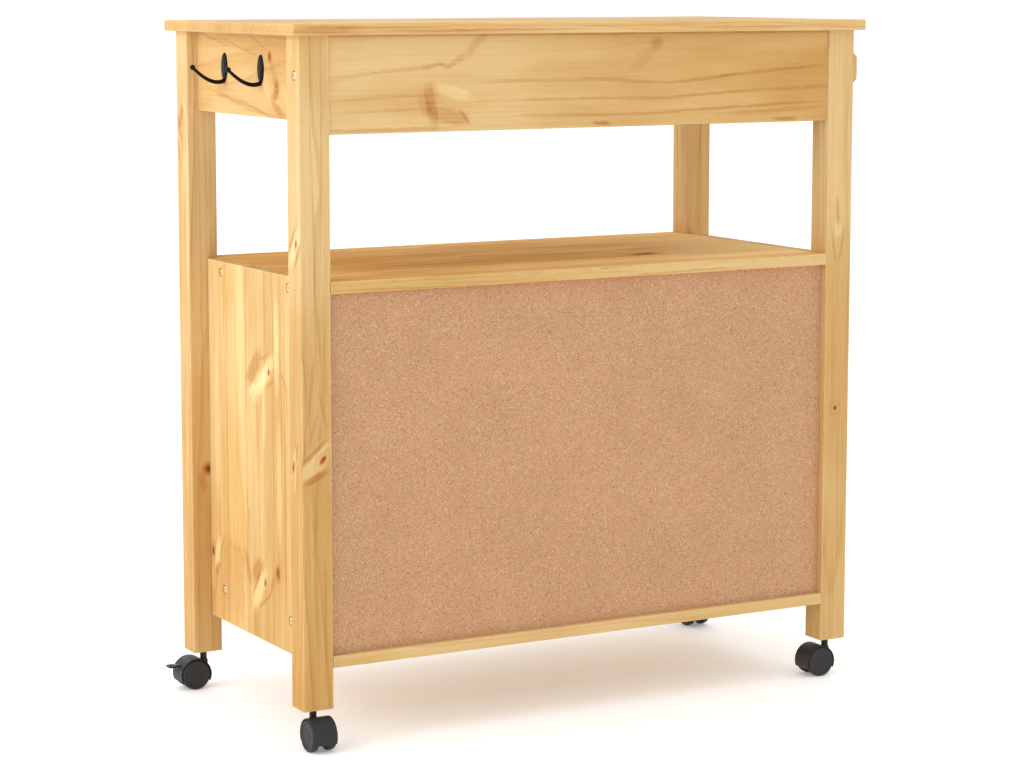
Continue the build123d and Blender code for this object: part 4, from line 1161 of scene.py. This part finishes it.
# Each softbox's place, target, size and power.
SOFTBOXES = {
    "key": ((3.6, 0.2, 1.9), CART_MIDDLE, (2.4, 2.4), 52),
    "overhead": ((-0.4, 0.2, 3.6), (0, 0, 0), (3.4, 3.4), 14),
    "glint": ((3.0, 2.2, 1.9), CART_MIDDLE, (0.12, 0.12), 6),
    "front_fill": ((-0.6, -3.8, 2.0), CART_MIDDLE, (2.6, 2.2), 20),
}
CAMERA_PLACE = (1.804, 3.190, 0.940)
CAMERA_YAW = radians(28.92)
CAMERA_PITCH = radians(7.23)
CAMERA_LENS = 96.91
CAMERA_SHIFT = (0.0213, -0.05)
CAMERA_SENSOR = 36.0


def floor():
    """A plain pale floor."""
    mesh = bmesh.new()
    bmesh.ops.create_grid(mesh, x_segments=1, y_segments=1, size=FLOOR_HALF)
    plane = object_from(mesh, "floor")

    def build(g):
        cloud = g.noise(g.node("TexCoord").outputs["Object"], scale=1.3)
        return {
            "Base Color": g.mix(cloud, *FLOOR_SHADES),
            "Roughness": 0.7,
            "Emission Color": WHITE,
            "Emission Strength": FLOOR_GLOW,
        }

    paint(plane, surface("floor", build))


def aimed(ahead):
    """The rotation of a light or camera that looks ahead."""
    return ahead.to_track_quat("-Z", "Y").to_euler()


def softbox(name, place, target, size, power):
    """A large soft light aimed at a point."""
    data = bpy.data.lights.new(name, "AREA")
    data.shape = "RECTANGLE"
    data.size, data.size_y = size
    data.energy = power
    light = in_scene(name, data)
    light.location = place
    light.rotation_euler = aimed(Vector(target) - Vector(place))


def studio():
    """A white surround and four soft lights."""
    world = bpy.data.worlds.new("studio")
    world.use_nodes = True
    background = world.node_tree.nodes["Background"]
    background.inputs["Color"].default_value = WHITE
    background.inputs["Strength"].default_value = SKY
    bpy.context.scene.world = world
    for name, settings in SOFTBOXES.items():
        softbox(name, *settings)
    bpy.context.scene.view_settings.view_transform = "Standard"


def camera():
    """A long lens from behind the hook side, a little above the worktop."""
    data = bpy.data.cameras.new("camera")
    data.sensor_width = CAMERA_SENSOR
    data.lens = CAMERA_LENS
    data.shift_x, data.shift_y = CAMERA_SHIFT
    lens = in_scene("camera", data)
    lens.location = CAMERA_PLACE
    level = Vector((sin(CAMERA_YAW), cos(CAMERA_YAW), 0)) * cos(CAMERA_PITCH)
    lens.rotation_euler = aimed(-level - Vector((0, 0, sin(CAMERA_PITCH))))
    bpy.context.scene.camera = lens


floor()
studio()
camera()
